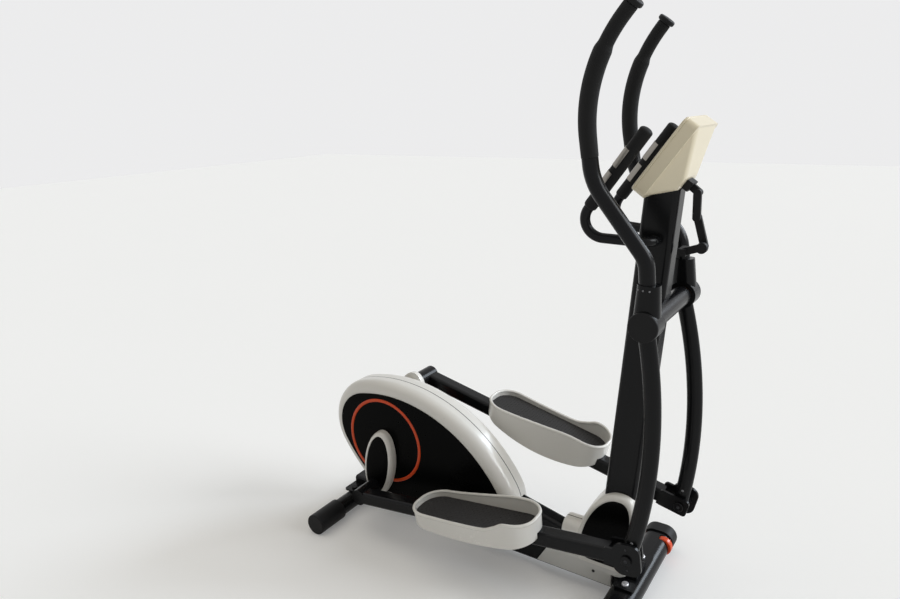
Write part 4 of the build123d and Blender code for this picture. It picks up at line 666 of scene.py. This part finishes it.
def crankOvals(levels, look):
    plan = crankShell
    turns = [2 * pi * i / plan["steps"] for i in range(plan["steps"])]
    whole = bmesh.new()
    for side in sides.values():
        toPin = side["pin"] - plan["axle"]
        along = toPin.normalized()
        across = Vector((along.z, 0, -along.x))
        middle = plan["axle"] + toPin / 2
        rings = []
        for out, half, reach in levels:
            rings.append([whole.verts.new(middle + along * reach * cos(turn) + across * half * sin(turn)
                                          + Vector((0, side["out"] * out, 0))) for turn in turns])
        for here, after in zip(rings, rings[1:]):
            for i in range(plan["steps"]):
                whole.faces.new((here[i - 1], here[i], after[i], after[i - 1]))
        for ring, (out, half, reach) in ((rings[0], levels[0]), (rings[-1], levels[-1])):
            center = whole.verts.new(middle + Vector((0, side["out"] * out, 0)))
            for i in range(plan["steps"]):
                whole.faces.new((ring[i - 1], ring[i], center))
    return closeMesh(whole, look)


addPiece("crank_shells", crankOvals(crankShell["shell"], shellWhite), "crank",
         crankShell["crease"], ["crank_covers"])
addPiece("crank_faces", crankOvals(crankShell["face"], panelBlack), "crank",
         crankShell["crease"], ["crank_inserts"])
print("crank shells done")

# mast-foot cover: a leaning oval with an arched collar behind it, over a skirt; x runs from the mast's foot
# cover and plate: depth from the middle, and how far the oval is grown there
footCover = {
    "foot": 0.41425, "floor": 0.084, "steps": 144,
    "middle": (-0.0092, 0.171), "back": 0.078, "front": 0.050, "rise": 0.149, "lean": 0.165,
    "fullFront": 0.70, "square": 0.32,
    "coverDrop": 0.087,
    "cover": ((0.0580, 0.0025), (0.0576, 0.0050), (0.0565, 0.0075), (0.0545, 0.0102), (0.0510, 0.0129),
              (0.0465, 0.0147), (0.0420, 0.0155), (0.0200, 0.0166), (0.0, 0.0170)),
    "plateDrop": 0.058,
    "plate": ((0.0570, 0.0), (0.0604, 0.0), (0.0613, -0.0005), (0.0619, -0.0016), (0.0620, -0.0030)),
    "collarBack": -0.157, "collarFront": -0.066, "collarHalf": 0.046, "collarTop": 0.192,
    "collarEdge": 0.008, "collarEdgeSteps": 5, "collarFlat": 0.62, "collarSteps": 48,
    "skirt": ((-0.229, 0.038), (0.005, 0.038), (0.005, 0.099), (-0.193, 0.099)), "skirtHalf": 0.050,
    "skirtEdge": 0.003, "skirtEdgeSteps": 3,
}


# adds a closed skin through rings of equal count to a mesh in the making
def skinRings(whole, rings):
    rows = [[whole.verts.new(point) for point in ring] for ring in rings]
    for here, after in zip(rows, rows[1:]):
        for i in range(len(here)):
            whole.faces.new((here[i - 1], here[i], after[i], after[i - 1]))
    for row in (rows[0], rows[-1]):
        whole.faces.new(row)


# a power of the size, with the sign kept
def signedPower(value, power):
    return abs(value) ** power * (1 if value > 0 else -1)


# leaning oval at one depth, grown all round, squared off below its middle
def footRing(y, grown, drop):
    plan = footCover
    x, z = plan["middle"]
    ring = []
    for i in range(plan["steps"]):
        turn = 2 * pi * i / plan["steps"]
        ahead, rise = cos(turn), sin(turn)
        reach = grown + (plan["front"] if ahead > 0 else plan["back"])
        full = plan["square"] if rise < 0 else plan["fullFront"] if ahead > 0 else 1.0
        wide = reach * signedPower(ahead, full)
        tall = abs(rise) ** full
        up = -drop * tall if rise < 0 else (plan["rise"] + grown) * tall
        ring.append(Vector((plan["foot"] + x + wide + plan["lean"] * max(up, 0), y, z + up)))
    return ring


# the collar's arch at one place along the machine
def archRing(x, inset):
    plan = footCover
    tall = plan["collarTop"] - plan["floor"] - inset
    wide = plan["collarHalf"] - inset
    ring = []
    for i in range(plan["collarSteps"] + 1):
        turn = pi * i / plan["collarSteps"]
        ring.append(Vector((plan["foot"] + x, wide * signedPower(cos(turn), plan["collarFlat"]),
                            plan["floor"] + tall * sin(turn) ** plan["collarFlat"])))
    return ring


def coverMesh(plan, look):
    whole = bmesh.new()
    depths = [(-y, grown) for y, grown in plan["cover"]] + list(reversed(plan["cover"][:-1]))
    skinRings(whole, [footRing(y, grown, plan["coverDrop"]) for y, grown in depths])
    arches = []
    for i in range(plan["collarEdgeSteps"] + 1):
        turn = radians(90 * i / plan["collarEdgeSteps"])
        arches.append(archRing(plan["collarBack"] + plan["collarEdge"] * (1 - cos(turn)),
                               plan["collarEdge"] * (1 - sin(turn))))
    skinRings(whole, arches + [archRing(plan["collarFront"], 0)])
    first = len(whole.faces)
    skinRings(whole, [[Vector((plan["foot"] + x, y, z)) for x, z in plan["skirt"]]
                      for y in (-plan["skirtHalf"], plan["skirtHalf"])])
    whole.faces.ensure_lookup_table()
    edges = list(dict.fromkeys(edge for face in whole.faces[first:] for edge in face.edges))
    bmesh.ops.bevel(whole, geom=edges, offset=plan["skirtEdge"], segments=plan["skirtEdgeSteps"],
                    profile=0.5, affect="EDGES")
    return closeMesh(whole, look)


def plateMesh(plan, look):
    whole = bmesh.new()
    for out in (-1, 1):
        skinRings(whole, [footRing(out * y, grown, plan["plateDrop"] + grown) for y, grown in plan["plate"]])
    return closeMesh(whole, look)


addPiece("foot_plates", plateMesh(footCover, panelBlack), "base", replaced=["mast_discs"])
addPiece("foot_cover", coverMesh(footCover, splitShell), "base",
         replaced=["mast_cover_right", "mast_cover_left"])
print("foot cover done")

# screws and rivets: spot, direction they face and head radius, kept by body
screwPlan = {
    "sleeveRise": 0.085, "sleeveHalf": 0.0268, "sleeveRound": 0.020, "sleeveSide": 0.003,
    "sleeveAhead": (-0.020, -0.007, 0.008), "sleeveHead": 0.0024,
    "footRise": -0.578, "footAhead": 0.0075, "footSide": 0.0168, "footHead": 0.0038,
    "pinSide": 0.0348, "pinHead": 0.0046,
    "joint": 0.917, "coverSide": 0.0285, "coverRise": (-0.029, 0.029), "coverHead": 0.0034,
    "skirt": (0.36525, 0.050, 0.070), "skirtHead": 0.0048,
    "headSides": 18,
    "sizes": {"Height": 0.42, "Taper": 0.74, "Socket": 0.55, "Depth": 0.28},
}


def screwSpots(plan):
    spots = {}
    for hand, side in sides.items():
        outward = Vector((0, side["out"], 0))
        swingNose = slopeAxes(side["swing"])[0]
        pedalNose, pedalLift = slopeAxes(side["slope"])
        onSwing = []
        for ahead in plan["sleeveAhead"]:
            over = max(abs(ahead) - plan["sleeveHalf"] + plan["sleeveRound"], 0) * (1 if ahead > 0 else -1)
            deep = sqrt(plan["sleeveRound"] ** 2 - over ** 2)
            facing = swingNose * over + outward * deep
            onSwing.append((swingPoint(hand, ahead, plan["sleeveRise"], plan["sleeveSide"] + deep), facing,
                            plan["sleeveHead"]))
        joint = side["pin"] + pedalNose * plan["joint"] + outward * armY
        for way in (-1, 1):
            foot = swingPoint(hand, plan["footAhead"], plan["footRise"], way * plan["footSide"])
            onSwing.append((foot, outward * way, plan["footHead"]))
        spots["swing_" + hand] = onSwing
        spots["lower_pin_" + hand] = [(joint + outward * way * plan["pinSide"], outward * way,
                                       plan["pinHead"]) for way in (-1, 1)]
        spots["pedal_" + hand] = [(joint + pedalLift * rise + outward * plan["coverSide"], outward,
                                   plan["coverHead"]) for rise in plan["coverRise"]]
    x, y, z = plan["skirt"]
    spots["base"] = [(Vector((x, way * y, z)), Vector((0, way, 0)), plan["skirtHead"]) for way in (-1, 1)]
    return spots


def screwSeed(spots):
    mesh = seedMesh([spot for spot, facing, size in spots])
    facings = mesh.attributes.new("facing", "FLOAT_VECTOR", "POINT")
    facings.data.foreach_set("vector", [number for spot, facing, size in spots
                                        for number in facing.normalized()])
    heads = mesh.attributes.new("head", "FLOAT", "POINT")
    heads.data.foreach_set("value", [size for spot, facing, size in spots])
    return mesh


def screwHeads(look):
    growth = Growth("screwHeads", **{label: "Float" for label in screwPlan["sizes"]})
    cone = growth.add("GeometryNodeMeshCone", {"fill_type": "NGON"},
                      {"Vertices": screwPlan["headSides"], "Radius Top": growth.value("Taper"),
                       "Radius Bottom": 1.0, "Depth": growth.value("Height")})
    lip = growth.add("GeometryNodeExtrudeMesh", {"mode": "FACES"},
                     {"Mesh": cone, "Selection": cone.output("Top"), "Offset Scale": 0.0})
    floor = lip.output("Top")
    drawn = growth.add("GeometryNodeScaleElements", {"domain": "FACE"},
                       {"Geometry": lip, "Selection": floor, "Scale": growth.value("Socket")})
    head = growth.add("GeometryNodeExtrudeMesh", {"mode": "FACES"},
                      {"Mesh": drawn, "Selection": floor, "Offset Scale": -1.0 * growth.value("Depth")})
    facing = growth.add("GeometryNodeInputNamedAttribute", {"data_type": "FLOAT_VECTOR"}, {"Name": "facing"})
    size = growth.add("GeometryNodeInputNamedAttribute", {"data_type": "FLOAT"}, {"Name": "head"})
    turn = growth.add("FunctionNodeAlignRotationToVector", {"axis": "Z"}, {"Vector": facing})
    heads = growth.add("GeometryNodeInstanceOnPoints", None,
                       {"Points": growth.value("Geometry"), "Instance": head, "Rotation": turn,
                        "Scale": size})
    return growth.close(heads, look)


paleScrews = screwHeads(dullZinc)
darkScrews = screwHeads(blackZinc)
for body, spots in screwSpots(screwPlan).items():
    screws = paleScrews if body.startswith("swing") else darkScrews
    heads = grow(screws, screwSeed(spots), screwPlan["sizes"])
    addPiece("screws_" + body, heads, body, crease=30)
print("screws done")

# camera: the photo's own viewpoint, fitted on the pivots, joints and stabilizer ends
cameraFit = {
    "place": (0.97417, -1.64413, 1.36909),
    "azimuth": 34.09,
    "pitch": 16.01,
    "roll": -1.60,
    "focalPixels": 680.89,
    "imageWidth": 900,
    "sensor": 36.0,
    "farthest": 50,
}


def aimCamera(fit):
    azimuth, pitch, roll = (radians(fit[key]) for key in ("azimuth", "pitch", "roll"))
    back = Vector((sin(azimuth) * cos(pitch), -cos(azimuth) * cos(pitch), sin(pitch)))
    right = Vector((cos(azimuth), sin(azimuth), 0))
    up = back.cross(right)
    across = right * cos(roll) + up * sin(roll)
    above = up * cos(roll) - right * sin(roll)
    lens = bpy.data.cameras.new("photoCamera")
    lens.sensor_fit = "HORIZONTAL"
    lens.sensor_width = fit["sensor"]
    lens.lens = fit["sensor"] * fit["focalPixels"] / fit["imageWidth"]
    lens.clip_end = fit["farthest"]
    eye = bpy.data.objects.new("photoCamera", lens)
    turn = Matrix((across, above, back)).transposed().to_4x4()
    eye.matrix_world = Matrix.Translation(Vector(fit["place"])) @ turn
    scene.collection.objects.link(eye)
    scene.camera = eye


aimCamera(cameraFit)

# pale floor and backdrop, cool lamps from the front and the far side, a warm one above
# lamps: name, direction, spread in degrees, power and tint
studio = {
    "floorSize": 14.0,
    "floorColor": rgb(0.89, 0.89, 0.89),
    "floorLift": rgb(0.15, 0.15, 0.15),
    "floorRoughness": 0.9,
    "floorShine": 0.1,
    "driftScale": 0.8,
    "driftDetail": 3,
    "driftTone": 0.985,
    "backdrop": rgb(0.84, 0.84, 0.845),
    "ambient": rgb(0.28, 0.27, 0.245),
    "lamps": (
        ("keyLamp", (0.82, 0.30, 0.48), 30, 1.6, (0.94, 0.97, 1.0)),
        ("rimLamp", (0.50, 0.76, 0.42), 22, 1.3, (0.82, 0.90, 1.0)),
        ("topLamp", (-0.30, -0.10, 1.0), 60, 0.45, (1.0, 0.95, 0.86)),
    ),
}


# 1 where the eye, a reflection or glass looks, 0 where light falls
def seenRay(maker):
    ray = maker.add("ShaderNodeLightPath")
    return ray.math("MAXIMUM", ray.output("Is Glossy Ray")).math("MAXIMUM", ray.output("Is Transmission Ray"))


def buildStudio(plan):
    size = plan["floorSize"]
    mesh = bpy.data.meshes.new("floor")
    corners = [(x * size, y * size, 0) for x, y in ((-1, -1), (1, -1), (1, 1), (-1, 1))]
    mesh.from_pydata(corners, [], [(0, 1, 2, 3)])
    floor = bpy.data.objects.new("floor", mesh)
    scene.collection.objects.link(floor)
    finish = Finish("floor_white", Roughness=plan["floorRoughness"], Specular_IOR_Level=plan["floorShine"],
                    Emission_Strength=1.0)
    drift = finish.noise(plan["driftScale"], plan["driftDetail"])
    glow = finish.blend(seenRay(finish), rgb(0, 0, 0), plan["floorLift"])
    tone = finish.mottle(drift, plan["floorColor"], plan["driftTone"], 1)
    mesh.materials.append(finish.feed(Base_Color=tone, Emission_Color=glow))
    world = bpy.data.worlds.new("studioWorld")
    world.use_nodes = True
    scene.world = world
    room = NodeMaker(world.node_tree)
    shade = room.blend(seenRay(room), plan["ambient"], plan["backdrop"])
    plug(room.tree, room.tree.nodes["Background"].inputs["Color"], shade)
    for name, away, spread, power, tint in plan["lamps"]:
        lamp = bpy.data.lights.new(name, "SUN")
        lamp.angle = radians(spread)
        lamp.energy = power
        lamp.color = tint
        stand = bpy.data.objects.new(name, lamp)
        stand.matrix_world = Vector(away).to_track_quat("Z", "Y").to_matrix().to_4x4()
        scene.collection.objects.link(stand)
    scene.view_settings.view_transform = "Standard"


buildStudio(studio)
print("camera and studio set")
